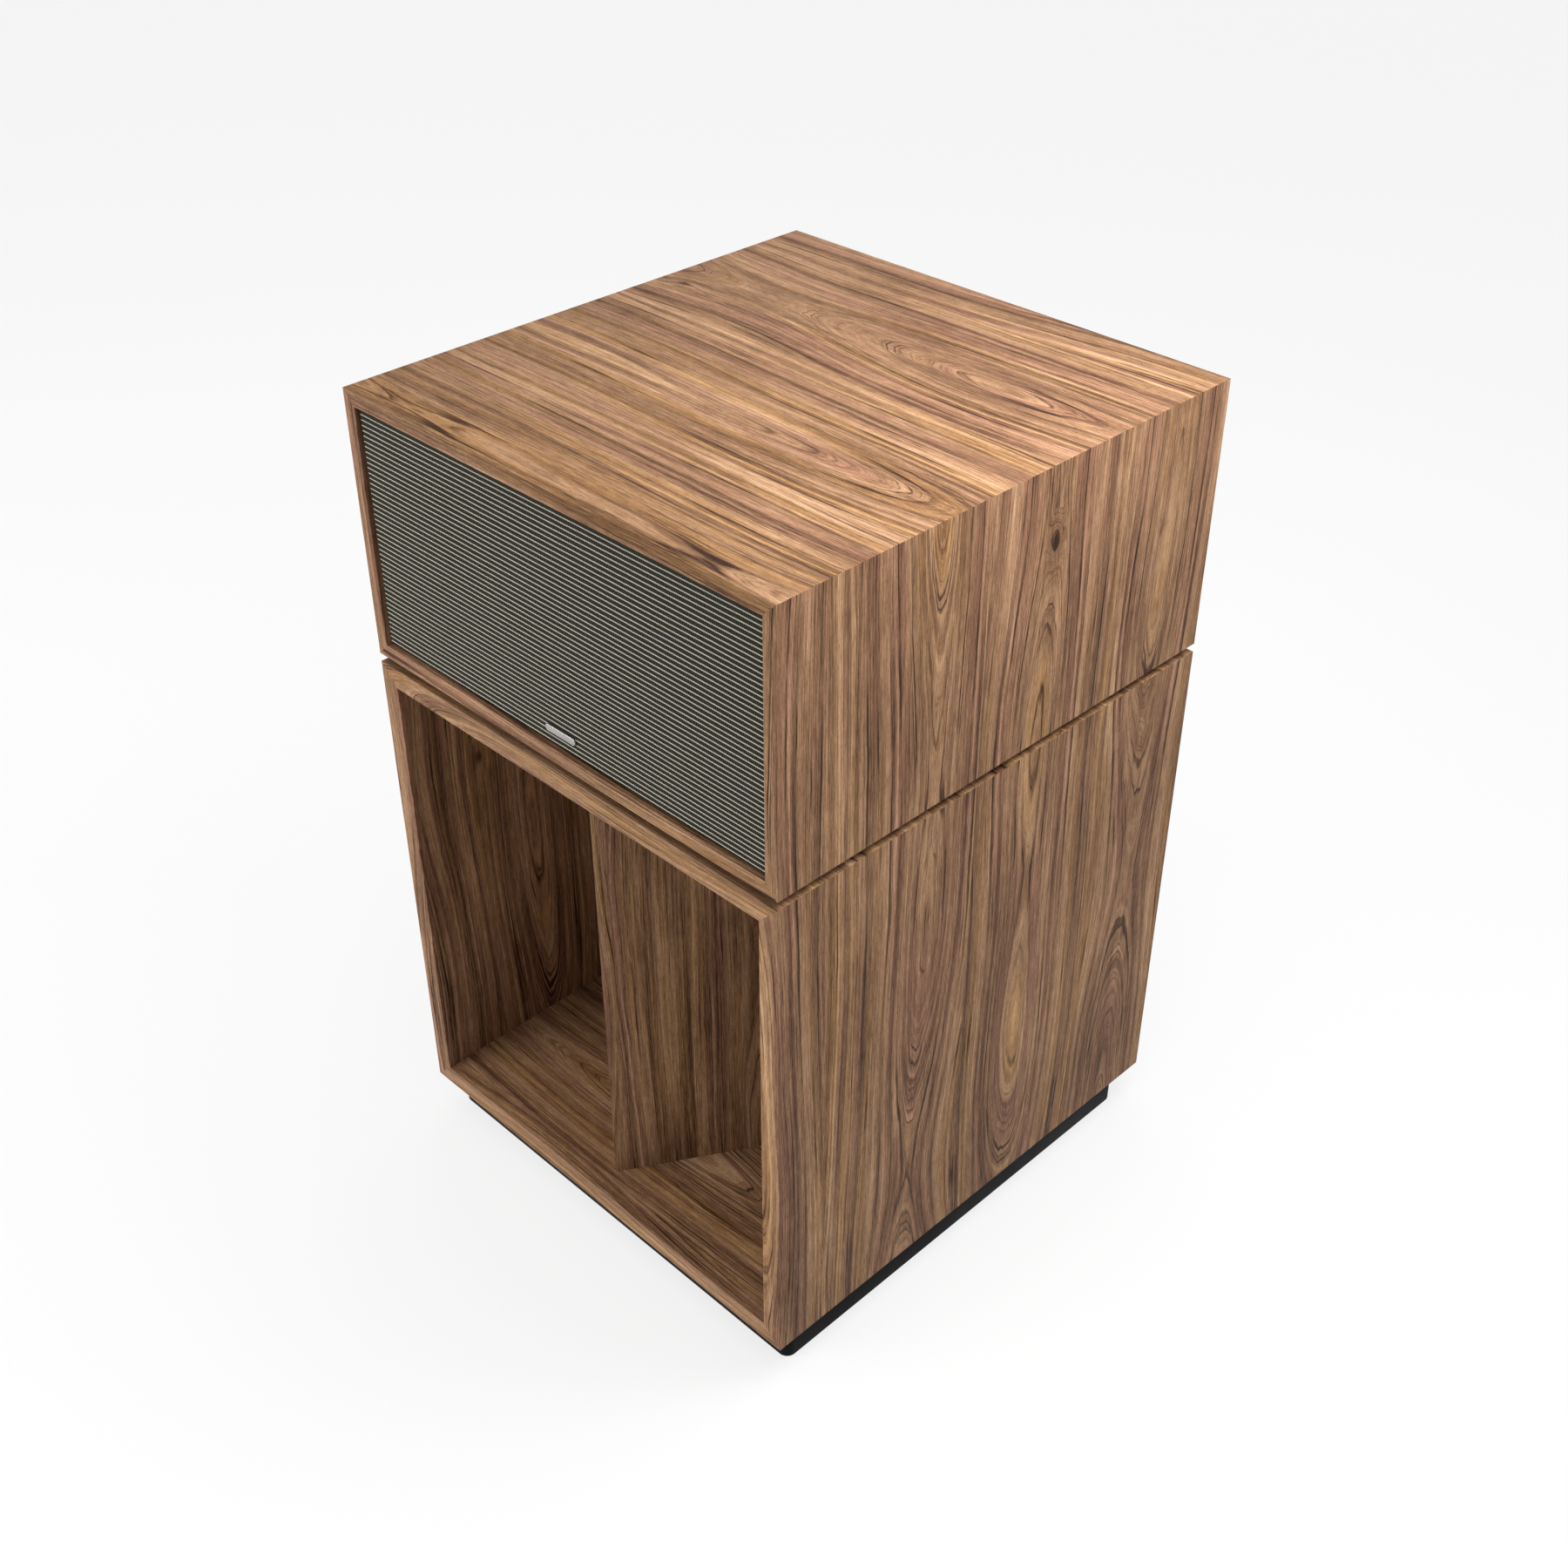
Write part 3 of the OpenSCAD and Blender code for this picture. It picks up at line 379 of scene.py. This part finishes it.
def metal(name, color, roughness, streaks=(20, 900, 900), tarnish=0.25):
    """Bright metal with fine drawn lines along one axis and a slow clouding of its shine."""
    bright = Shade(name)
    place = bright.place()
    lines = bright.noise(bright.stretched(place, streaks), 1.0, detail=3, roughness=0.6)
    cloud = bright.noise(place, 60, detail=5, roughness=0.65)
    spots = bright.map(bright.noise(place, 700, detail=2), 0.66, 0.74)
    skin = two_tone(bright, cloud, 0.35, 0.65, color, 1 - tarnish)
    skin = bright.mix(bright.scaled(spots, 0.25), skin, (*darker(color, 0.35), 1))
    gloss = bright.math("ADD", bright.map(lines, 0.3, 0.7, roughness - 0.06, roughness + 0.08),
                        bright.scaled(cloud, 0.12, -0.06))
    bright.surface(color=skin, roughness=gloss, metallic=1.0, normal=bright.bump(lines, 0.01 * MM, 0.5))
    return bright.material


def pressed_board(name, color):
    """Bare fibreboard: pale and dark wood specks, fine fuzz and rub marks."""
    board = Shade(name)
    place = board.place()
    specks = board.noise(place, 1400, detail=2, roughness=0.7)
    chips = board.node("TexVoronoi", {"Vector": board.stretched(place, (420, 420, 160)), "Scale": 1.0,
                                      "Randomness": 1.0}).outputs["Color"]
    marks = board.noise(place, 11, detail=5, roughness=0.65)
    tone = board.math("ADD", board.scaled(specks, 0.6), board.scaled(board.split(chips)[0], 0.25))
    tone = board.math("ADD", tone, board.scaled(marks, 0.35))
    shades = [(0.35, darker(color, 0.55)), (0.62, color), (0.85, darker(color, 1.25))]
    board.surface(color=board.ramp(tone, shades),
                  roughness=board.map(marks, 0.3, 0.7, 0.68, 0.86),
                  normal=board.bump(tone, 0.08 * MM, 0.6))
    board.bsdf.inputs["Specular IOR Level"].default_value = 0.25
    return board.material


def rubber(name, color):
    soft = Shade(name)
    place = soft.place()
    skin = soft.noise(place, 1100, detail=4, roughness=0.7)
    bloom = soft.noise(place, 130, detail=4)
    soft.surface(color=soft.mix(soft.map(bloom, 0.5, 0.75, 0.0, 0.35), (*color, 1), (0.09, 0.085, 0.08, 1)),
                 roughness=soft.map(bloom, 0.3, 0.7, 0.72, 0.92), normal=soft.bump(skin, 0.06 * MM, 0.8))
    return soft.material


def ceramic(name, color):
    """Sintered magnet ceramic, with grinding lines and chipped grains."""
    grey = Shade(name)
    place = grey.place()
    grains = grey.noise(place, 1900, detail=3, roughness=0.75)
    ground = grey.noise(grey.stretched(place, (35, 900, 900)), 1.0, detail=3)
    pits = grey.map(grey.noise(place, 420, detail=2), 0.64, 0.74)
    tone = grey.math("ADD", grey.scaled(grains, 0.6), grey.scaled(ground, 0.4))
    height = grey.math("SUBTRACT", tone, pits)
    grey.surface(color=two_tone(grey, tone, 0.35, 0.65, color, 0.6),
                 roughness=grey.map(tone, 0.3, 0.7, 0.5, 0.75), normal=grey.bump(height, 0.07 * MM, 0.8))
    return grey.material


def polar(shade):
    """Distance from the axis of the woofer, and the angle round it in turns."""
    x, _, z = shade.split(shade.place())
    middle_z = sum(c.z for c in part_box("woofer_cone")) / 2
    z = shade.math("SUBTRACT", z, middle_z)
    radius = shade.math("SQRT", shade.math("MULTIPLY_ADD", x, x, shade.math("MULTIPLY", z, z)))
    return radius, shade.scaled(shade.math("ARCTAN2", z, x), 0.5 / math.pi)


def woven(name, color, threads_per_m, doped):
    """A cotton weave stiffened with resin or rubber: crossing threads, half filled by the coat."""
    cloth = Shade(name)
    x, y, z = cloth.split(cloth.place())
    turn = 2 * math.pi * threads_per_m
    warp = cloth.math("SINE", cloth.scaled(x, turn))
    weft = cloth.math("SINE", cloth.scaled(z, turn))
    over = cloth.math("MULTIPLY", warp, weft)
    slub = cloth.noise(cloth.place(), 240, detail=4, roughness=0.65)
    height = cloth.math("ADD", cloth.scaled(over, 0.5), cloth.scaled(slub, 0.6))
    tone = cloth.math("ADD", cloth.scaled(over, 0.18, 0.25), cloth.scaled(slub, 0.6))
    cloth.surface(color=cloth.ramp(tone, [(0.2, darker(color, 0.45)), (0.8, color)]),
                  roughness=cloth.map(slub, 0.3, 0.7, doped - 0.08, doped + 0.08),
                  normal=cloth.bump(height, 0.12 * MM, 0.7))
    return cloth.material


def cone_pulp(name, color):
    """Pressed paper pulp, with fibres and faint rings from the felting mould."""
    pulp = Shade(name)
    radius, turn = polar(pulp)
    felt = pulp.noise(pulp.place(), 520, detail=5, roughness=0.7, distortion=1.2)
    rings = pulp.math("SINE", pulp.scaled(radius, 2600))
    rays = pulp.noise(pulp.join(pulp.scaled(turn, 160), pulp.scaled(radius, 25)), detail=4, dimensions="2D")
    tone = pulp.math("ADD", pulp.scaled(felt, 0.7), pulp.scaled(rays, 0.3))
    height = pulp.math("ADD", felt, pulp.scaled(rings, 0.12))
    pulp.surface(color=pulp.ramp(tone, [(0.3, darker(color, 0.55)), (0.7, color)]),
                 roughness=pulp.map(felt, 0.3, 0.7, 0.75, 0.92), normal=pulp.bump(height, 0.12 * MM, 0.7))
    return pulp.material


def windings(name, color, turns_per_m):
    """Enamelled wire laid turn on turn."""
    wire = Shade(name)
    x, y, z = wire.split(wire.place())
    along = wire.math("ADD", wire.math("ADD", x, y), z)
    turn = wire.math("SINE", wire.scaled(along, 2 * math.pi * turns_per_m))
    each = wire.noise(wire.scaled(along, turns_per_m), detail=1, dimensions="1D")
    cloud = wire.noise(wire.place(), 90, detail=3)
    tone = wire.math("ADD", wire.scaled(each, 0.5), wire.scaled(cloud, 0.5))
    wire.surface(color=wire.ramp(tone, [(0.25, darker(color, 0.5)), (0.7, color)]), metallic=0.9,
                 roughness=wire.map(cloud, 0.3, 0.7, 0.22, 0.40), normal=wire.bump(turn, 0.25 * MM, 0.8))
    wire.bsdf.inputs["Coat Weight"].default_value = 0.5
    wire.bsdf.inputs["Coat Roughness"].default_value = 0.15
    return wire.material


def insulation(name, color):
    """Wire insulation, red on one half of the runs and black on the other."""
    sleeve = Shade(name)
    x, _, _ = sleeve.split(sleeve.place())
    is_red = sleeve.math("LESS_THAN", x, 0.0)
    scuff = sleeve.noise(sleeve.place(), 350, detail=4, roughness=0.65)
    both = sleeve.mix(is_red, (0.012, 0.012, 0.013, 1), (*color, 1))
    dull = sleeve.mix(sleeve.map(scuff, 0.5, 0.7, 0.0, 0.4), both, (0.10, 0.08, 0.07, 1))
    sleeve.surface(color=dull, roughness=sleeve.map(scuff, 0.3, 0.7, 0.32, 0.55),
                   normal=sleeve.bump(scuff, 0.03 * MM, 0.5))
    return sleeve.material


def laminate(name, color):
    """Coated circuit board: glass weave showing faintly through a satin coat."""
    board = Shade(name)
    x, y, _ = board.split(board.place())
    weave = board.math("MULTIPLY", board.math("SINE", board.scaled(x, 5200)),
                       board.math("SINE", board.scaled(y, 5200)))
    blotch = board.noise(board.place(), 70, detail=4)
    tone = board.math("ADD", board.scaled(weave, 0.12, 0.1), board.scaled(blotch, 0.8))
    board.surface(color=board.ramp(tone, [(0.25, darker(color, 0.6)), (0.75, color)]),
                  roughness=board.map(blotch, 0.3, 0.7, 0.25, 0.42), normal=board.bump(weave, 0.02 * MM, 0.5))
    return board.material


def film(name, color):
    """Wound plastic film round a capacitor, glossy, with wrap lines and small creases."""
    wrap = Shade(name)
    place = wrap.place()
    lines = wrap.noise(wrap.stretched(place, (40, 1400, 1400)), 1.0, detail=2)
    crease = wrap.noise(place, 260, detail=4, distortion=2.0)
    wrap.surface(color=two_tone(wrap, crease, 0.35, 0.65, color, 0.75),
                 roughness=wrap.map(lines, 0.3, 0.7, 0.12, 0.30), normal=wrap.bump(crease, 0.10 * MM, 0.6))
    return wrap.material


def foil(name, color):
    """Thin drawn titanium, with forming ripples."""
    thin = Shade(name)
    place = thin.place()
    ripple = thin.noise(place, 330, detail=4, distortion=1.0)
    lines = thin.noise(thin.stretched(place, (1500, 90, 90)), 1.0, detail=2)
    thin.surface(color=two_tone(thin, ripple, 0.3, 0.7, color, 0.75), metallic=1.0,
                 roughness=thin.map(lines, 0.3, 0.7, 0.18, 0.34), normal=thin.bump(ripple, 0.06 * MM, 0.6))
    return thin.material


def yarn(name, color, twist_per_m, slant):
    """Spun yarn: painted shade in the lay between its plies, with loose fibres."""
    spun = Shade(name)
    x, y, z = spun.split(spun.place())
    along = spun.math("ADD", x, spun.scaled(z, slant))
    lay = spun.math("SINE", spun.scaled(along, 2 * math.pi * twist_per_m))
    fuzz = spun.noise(spun.place(), 2600, detail=3, roughness=0.7)
    slub = spun.noise(spun.stretched(spun.place(), (60, 60, 160)), 1.0, detail=3)
    # The lay is painted darker as painted shade between the plies; fuzz and slub give the yarn's own tone.
    tone = spun.math("ADD", spun.scaled(lay, 0.16, 0.16), spun.scaled(fuzz, 0.45))
    tone = spun.math("ADD", tone, spun.scaled(slub, 0.35))
    shades = [(0.25, darker(color, 0.55)), (0.62, color), (0.9, darker(color, 1.15))]
    spun.surface(color=spun.ramp(tone, shades),
                 roughness=spun.map(fuzz, 0.3, 0.7, 0.72, 0.92), normal=spun.bump(lay, 0.10 * MM, 0.6))
    spun.bsdf.inputs["Specular IOR Level"].default_value = 0.2
    return spun.material


# ---- veneered boards ----

ARRIS = 0.5 * MM
SHORTEST_ARRIS = 50 * MM
SQUARE_WITHIN = 0.02
FACING_SHARE = 0.99
LEAF_SHIFT = 0.731
GRAIN_ALONG_X = {"bin_bottom": 11, "bin_top": 23, "hf_top": 37, "hf_bottom": 41}
GRAIN_ALONG_Z = {"bin_left_side": 103, "bin_right_side": 113, "wedge_nose": 71, "wedge_left_flank": 83,
                 "wedge_right_flank": 97, "hf_left_side": 103, "hf_right_side": 113}
FLANK_ANGLE = math.radians(31)
SHARP_FROM = math.radians(55)


def board_across(node, at, normal):
    """Where a point lies across the grain, carried round the board's front arris without a break."""
    low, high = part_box(node)
    if node in GRAIN_ALONG_X:
        return at.y + (at.z - high.z) * (-1 if normal.y > 0.5 else 1)
    if node.startswith("wedge"):
        return abs(at.x) * math.sin(FLANK_ANGLE) + at.y * math.cos(FLANK_ANGLE)
    return at.y + abs(at.x) - max(abs(low.x), abs(high.x))


def is_arris(edge):
    """True for a long edge where two faces of a board meet squarely, neither of them a mitre."""
    if len(edge.link_faces) != 2 or edge.calc_length() < SHORTEST_ARRIS or not edge.is_convex:
        return False
    if abs(edge.calc_face_angle() - math.pi / 2) > SQUARE_WITHIN:
        return False
    return all(max(abs(c) for c in face.normal) > FACING_SHARE for face in edge.link_faces)


def veneered(node, material):
    """A board again, with eased arrises and a grain map that runs along the board."""
    shape = bmesh.new()
    shape.from_mesh(nodes[node].data)
    bmesh.ops.remove_doubles(shape, verts=shape.verts, dist=0.01 * MM)
    bmesh.ops.dissolve_limit(shape, angle_limit=0.005, verts=shape.verts, edges=shape.edges)
    bmesh.ops.bevel(shape, geom=[e for e in shape.edges if is_arris(e)], offset=ARRIS, segments=2,
                    profile=0.5, affect="EDGES")
    grain = shape.loops.layers.uv.new("grain")
    shift = {**GRAIN_ALONG_X, **GRAIN_ALONG_Z}[node] * LEAF_SHIFT
    for face in shape.faces:
        face.smooth = False
        face.material_index = 0
        for loop in face.loops:
            at = loop.vert.co
            along = at.x if node in GRAIN_ALONG_X else at.z
            loop[grain].uv = (along + shift, board_across(node, at, face.normal) + shift)
    mesh = bpy.data.meshes.new("veneer_" + node)
    shape.to_mesh(mesh)
    shape.free()
    mesh.materials.append(material)
    piece = bpy.data.objects.new("veneer_" + node, mesh)
    bpy.context.scene.collection.objects.link(piece)
    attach(piece, body_of_node[node])
    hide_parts(node)
    return piece


def finished(name, shape, material, body, replaced, smooth_below=35):
    """Turn a bmesh into a shown piece that takes a CAD node's place."""
    mesh = bpy.data.meshes.new(name)
    shape.to_mesh(mesh)
    shape.free()
    for face in mesh.polygons:
        face.use_smooth = True
    mesh.set_sharp_from_angle(angle=math.radians(smooth_below))
    mesh.materials.append(material)
    piece = bpy.data.objects.new(name, mesh)
    bpy.context.scene.collection.objects.link(piece)
    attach(piece, body)
    if replaced:
        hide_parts(replaced)
    return piece


def softened(node, radius, material, chosen=None, segments=3):
    """A CAD node again, with its sharp outer edges eased."""
    shape = bmesh.new()
    shape.from_mesh(nodes[node].data)
    bmesh.ops.remove_doubles(shape, verts=shape.verts, dist=0.005 * MM)
    bmesh.ops.dissolve_limit(shape, angle_limit=0.003, verts=shape.verts, edges=shape.edges)
    sharp = [e for e in shape.edges if len(e.link_faces) == 2 and e.is_convex
             and e.calc_face_angle() > SHARP_FROM and (chosen is None or chosen(e))]
    bmesh.ops.bevel(shape, geom=sharp, offset=radius, segments=segments, profile=0.5, affect="EDGES",
                    clamp_overlap=True)
    return finished("eased_" + node, shape, material, body_of_node[node], node)


# ---- grille cloth: a dark sheet with pale cords across it and slanted dark ones between ----

FRAME_EDGE_R = 1.4 * MM
RIM_WITHIN = 0.1 * MM
CLOTH_EDGE_R = 2.2 * MM
SHEET_BEHIND = 0.75 * MM
ROW_COUNT = 47
FIRST_ROW = 0.75
BEAD_PITCH = 2.5 * MM
CORD_HALF_W = 0.64 * MM
CORD_PROUD = 0.70 * MM
TICK_PITCH = 2.5 * MM
TICK_HALF_W = 0.52 * MM
TICK_PROUD = 0.45 * MM
TICK_LEAN = 0.9 * MM
SHEET_TURN_IN = 9 * MM
CORD_TURN_IN = 5 * MM
SHEET_CELL = 12 * MM
EDGE_STOPS = 9
STEPS_PER_BEAD = 3
BEAD_MEAN, BEAD_SWELL = 0.86, 0.14
BEAD_IN_WIDTH = 0.25
CORD_SECTION = ((-1.0, 0.0), (-0.62, 0.80), (0.0, 1.0), (0.62, 0.80), (1.0, 0.0))
SLOW_DRIFT, QUICK_DRIFT = 0.10 * MM, 0.06 * MM
TICK_HUMP = 0.15
TICK_OVERLAP = 0.8
SAME_PLACE = 0.001 * MM


class Wrapped:
    """The face of the stretched cloth: flat in front and rolled back at all four edges."""

    def __init__(self, node):
        low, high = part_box(node)
        self.half = ((high.x - low.x) / 2, (high.z - low.z) / 2)
        self.middle = ((high.x + low.x) / 2, (high.z + low.z) / 2)
        self.front = low.y

    def rolled(self, travel, half):
        """How far out and how far back a point lies, travel metres over the cloth from the middle."""
        size = abs(travel)
        flat = half - CLOTH_EDGE_R
        arc = CLOTH_EDGE_R * math.pi / 2
        if size <= flat:
            return travel, 0.0, 0.0
        if size <= flat + arc:
            angle = (size - flat) / CLOTH_EDGE_R
        else:
            angle = math.pi / 2
        out = flat + CLOTH_EDGE_R * math.sin(angle)
        back = CLOTH_EDGE_R * (1 - math.cos(angle)) + max(0.0, size - flat - arc)
        return math.copysign(out, travel), back, math.copysign(angle, travel)

    def at(self, across, up, sunk=0.0):
        """The place of a cloth point, sunk metres under the CAD cloth's face."""
        x, back_x, turn_x = self.rolled(across, self.half[0])
        z, back_z, turn_z = self.rolled(up, self.half[1])
        x -= sunk * math.sin(turn_x)
        z -= sunk * math.sin(turn_z)
        back = back_x + back_z + sunk * min(math.cos(turn_x), math.cos(turn_z))
        return self.middle[0] + x, self.front + back, self.middle[1] + z

    def reach(self, axis, turn_in):
        """Half of the cloth's width along one axis, with a length turned in at each edge."""
        return self.half[axis] - CLOTH_EDGE_R + CLOTH_EDGE_R * math.pi / 2 + turn_in


def stops(reach, flat, step):
    """Places from -reach to reach: close together round the rolled edges and step apart on the flat."""
    edge = np.linspace(flat, reach, EDGE_STOPS)[1:]
    count = max(2, int(round(2 * flat / step)) + 1)
    return np.concatenate([-edge[::-1], np.linspace(-flat, flat, count), edge])


def is_front_rim(edge):
    """True for an edge of the grille frame's face that lies along its outside."""
    low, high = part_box("grille_frame")
    for corner in edge.verts:
        x, y, z = corner.co
        on_outline = min(high.x - abs(x), z - low.z, high.z - z) < RIM_WITHIN
        if y > low.y + RIM_WITHIN or not on_outline:
            return False
    return True


def backing_sheet(cloth, material):
    """The cloth as one sheet. Its four corners are cut out, so that the edges turn in without a fold."""
    reach = [cloth.reach(axis, SHEET_TURN_IN) for axis in (0, 1)]
    flat = [half - CLOTH_EDGE_R for half in cloth.half]
    across = stops(reach[0], flat[0], SHEET_CELL)
    up = stops(reach[1], flat[1], SHEET_CELL)
    shape = bmesh.new()
    made = {}

    def vertex(i, j):
        if (i, j) not in made:
            made[i, j] = shape.verts.new(cloth.at(across[i], up[j], SHEET_BEHIND))
        return made[i, j]

    for i in range(len(across) - 1):
        for j in range(len(up) - 1):
            past_x = min(abs(across[i]), abs(across[i + 1])) >= flat[0] - SAME_PLACE
            past_z = min(abs(up[j]), abs(up[j + 1])) >= flat[1] - SAME_PLACE
            if past_x and past_z:
                continue
            shape.faces.new((vertex(i, j), vertex(i + 1, j), vertex(i + 1, j + 1), vertex(i, j + 1)))
    area = sum(face.calc_area() for face in shape.faces)
    piece = finished("grille_sheet", shape, material, body_of_node["grille_cloth"], "grille_cloth")
    return piece, area, reach


def pale_cords(cloth, material):
    """Beaded cords from side to side, one to a row."""
    reach = cloth.reach(0, CORD_TURN_IN)
    count = int(round(2 * reach / BEAD_PITCH)) * STEPS_PER_BEAD
    travel = np.linspace(-reach, reach, count + 1)
    swell = BEAD_MEAN + BEAD_SWELL * np.cos(travel / BEAD_PITCH * 2 * math.pi)
    shape = bmesh.new()
    for row in range(ROW_COUNT):
        up = row_height(cloth, row)
        drift = SLOW_DRIFT * np.sin(travel * 37 + 2.1 * row)
        drift += QUICK_DRIFT * np.sin(travel * 151 + row)
        rows = []
        fat = swell if row % 2 else np.roll(swell, 1)
        width = CORD_HALF_W * (1 - BEAD_IN_WIDTH + BEAD_IN_WIDTH * fat)
        for side, lift in CORD_SECTION:
            rows.append([
                shape.verts.new(cloth.at(t, up + d + side * w, SHEET_BEHIND - CORD_PROUD * lift * f))
                for t, d, w, f in zip(travel, drift, width, fat)
            ])
        for low, high in zip(rows, rows[1:]):
            for a, b, c, d in zip(low, low[1:], high[1:], high):
                shape.faces.new((a, b, c, d))
    return finished("grille_pale_cords", shape, material, body_of_node["grille_cloth"], None,
                    smooth_below=80)


def row_height(cloth, row):
    """Height of a pale cord over the cloth's middle. Row 0 is the lowest."""
    pitch = 2 * cloth.half[1] / ROW_COUNT
    return -cloth.half[1] + pitch * (row + FIRST_ROW)


def slanted_cords(cloth, material):
    """Short dark cords that lean across each gap between two pale ones."""
    reach = cloth.reach(0, CORD_TURN_IN)
    pitch = 2 * cloth.half[1] / ROW_COUNT
    count = int(round(2 * reach / TICK_PITCH))
    shape = bmesh.new()
    for row in range(ROW_COUNT - 1):
        low = row_height(cloth, row) + CORD_HALF_W * TICK_OVERLAP
        high = row_height(cloth, row + 1) - CORD_HALF_W * TICK_OVERLAP
        middle = (low + high) / 2
        hump = TICK_HUMP * pitch
        # Height, lean and lift of each station along one cord, which dips where another crosses it.
        stations = ((low, -0.5, 0.35), (middle - hump, -0.2, 1.0), (middle, 0.0, 0.45),
                    (middle + hump, 0.2, 1.0), (high, 0.5, 0.35))
        for k in range(count):
            start = -reach + (k + 0.5 * (row % 2)) * TICK_PITCH + TICK_LEAN
            if start + TICK_LEAN > reach:
                continue
            ring = []
            for up, lean, lift in stations:
                at = start + lean * TICK_LEAN
                ring.append([
                    shape.verts.new(cloth.at(at - TICK_HALF_W, up, SHEET_BEHIND)),
                    shape.verts.new(cloth.at(at, up, SHEET_BEHIND - TICK_PROUD * lift)),
                    shape.verts.new(cloth.at(at + TICK_HALF_W, up, SHEET_BEHIND)),
                ])
            for a, b in zip(ring, ring[1:]):
                shape.faces.new((a[0], a[1], b[1], b[0]))
                shape.faces.new((a[1], a[2], b[2], b[1]))
    return finished("grille_slanted_cords", shape, material, body_of_node["grille_cloth"], None,
                    smooth_below=80)


def dress(node, material):
    """Give a CAD node that stays in view its material."""
    mesh = nodes[node].data
    mesh.materials.clear()
    mesh.materials.append(material)


add_camera()
add_floor()
add_sky(zenith=2.1, between=0.03, horizon=0.90)
add_area_light("over_panel", (0.55, 0.10, 1.50), (0.35, 0.10, 0.98), (0.5, 0.7), 13)
add_area_light("back_panel", (1.5, 1.4, 2.0), (0.1, 0.1, 0.98), (1.0, 0.8), 14)
add_area_light("haze_panel", (-1.7, 1.8, 2.3), (0, 0, 0.98), (2.0, 1.6), 8)
add_area_light("front_panel", (-1.5, -3.5, 1.6), (0, -0.3, 0.7), (2.5, 2.0), 125)
bpy.context.scene.view_settings.view_transform = "Standard"

walnut_veneer = walnut()
walnut_lipping = walnut("walnut_lipping", lift=0.16)
for name in (*GRAIN_ALONG_X, *GRAIN_ALONG_Z):
    veneered(name, walnut_lipping if name == "wedge_nose" else walnut_veneer)

looks = {
    "black_paint": painted("black_paint", (0.0045, 0.0045, 0.005), 0.45),
    "board_paint": painted("board_paint", (0.010, 0.010, 0.011), 0.50, grain=700, depth=0.05, shine=0.20),
    "plain_board": pressed_board("plain_board", (0.42, 0.30, 0.19)),
    "pad_rubber": rubber("pad_rubber", (0.02, 0.02, 0.02)),
    "basket_paint": painted("basket_paint", (0.016, 0.016, 0.018), 0.50, grain=1500, depth=0.06),
    "ferrite": ceramic("ferrite", (0.055, 0.055, 0.060)),
    "plated_steel": metal("plated_steel", (0.62, 0.60, 0.55), 0.30),
    "zinc_screw": metal("zinc_screw", (0.66, 0.66, 0.64), 0.28, streaks=(300, 40, 300)),
    "spider_cloth": woven("spider_cloth", (0.48, 0.27, 0.08), 900, 0.62),
    "surround_cloth": woven("surround_cloth", (0.035, 0.033, 0.031), 1100, 0.52),
    "cone_paper": cone_pulp("cone_paper", (0.060, 0.056, 0.052)),
    "copper": windings("copper", (0.72, 0.30, 0.13), 900),
    "cup_plastic": moulded("cup_plastic", (0.018, 0.018, 0.019), 0.46),
    "gold_plate": metal("gold_plate", (0.86, 0.60, 0.24), 0.20, tarnish=0.12),
    "red_plastic": moulded("red_plastic", (0.45, 0.012, 0.012), 0.26, grain=500, clear=0.15),
    "black_plastic": moulded("black_plastic", (0.016, 0.016, 0.018), 0.28, grain=500),
    "wire_red": insulation("wire_red", (0.42, 0.02, 0.02)),
    "horn_plastic": moulded("horn_plastic", (0.020, 0.020, 0.021), 0.55, grain=1900),
    "driver_paint": painted("driver_paint", (0.022, 0.022, 0.025), 0.35, grain=1200, depth=0.03),
    "diaphragm_foil": foil("diaphragm_foil", (0.56, 0.56, 0.58)),
    "board_laminate": laminate("board_laminate", (0.035, 0.085, 0.040)),
    "capacitor_film": film("capacitor_film", (0.62, 0.36, 0.05)),
    "badge_metal": metal("badge_metal", (0.40, 0.39, 0.37), 0.34, streaks=(30, 1500, 1500), tarnish=0.10),
}
for name, slot_name in slot_of_node.items():
    if slot_name in looks:
        dress(name, looks[slot_name])

EASED_MM = {"plinth": 1.2, "riser": 0.6, "bin_back": 0.6, "hf_back": 0.6, "hf_baffle": 0.5, "badge": 0.5,
            "jumper_bars": 0.3}
PAINTED_BOARDS = ("bin_back", "hf_back", "hf_baffle")
for name, radius in EASED_MM.items():
    softened(name, radius * MM, looks["board_paint" if name in PAINTED_BOARDS else slot_of_node[name]])
softened("grille_frame", FRAME_EDGE_R, looks["black_paint"], chosen=is_front_rim)

cloth_face = Wrapped("grille_cloth")
sheet_piece, sheet_area, sheet_reach = backing_sheet(
    cloth_face, yarn("grille_ground_cloth", srgb(9, 8, 6), 550, 0.0))
pale = pale_cords(cloth_face, yarn("grille_pale_yarn", srgb(166, 162, 147), 550, 0.8))
slanted = slanted_cords(cloth_face, yarn("grille_dark_yarn", srgb(48, 45, 32), 900, 0.7))
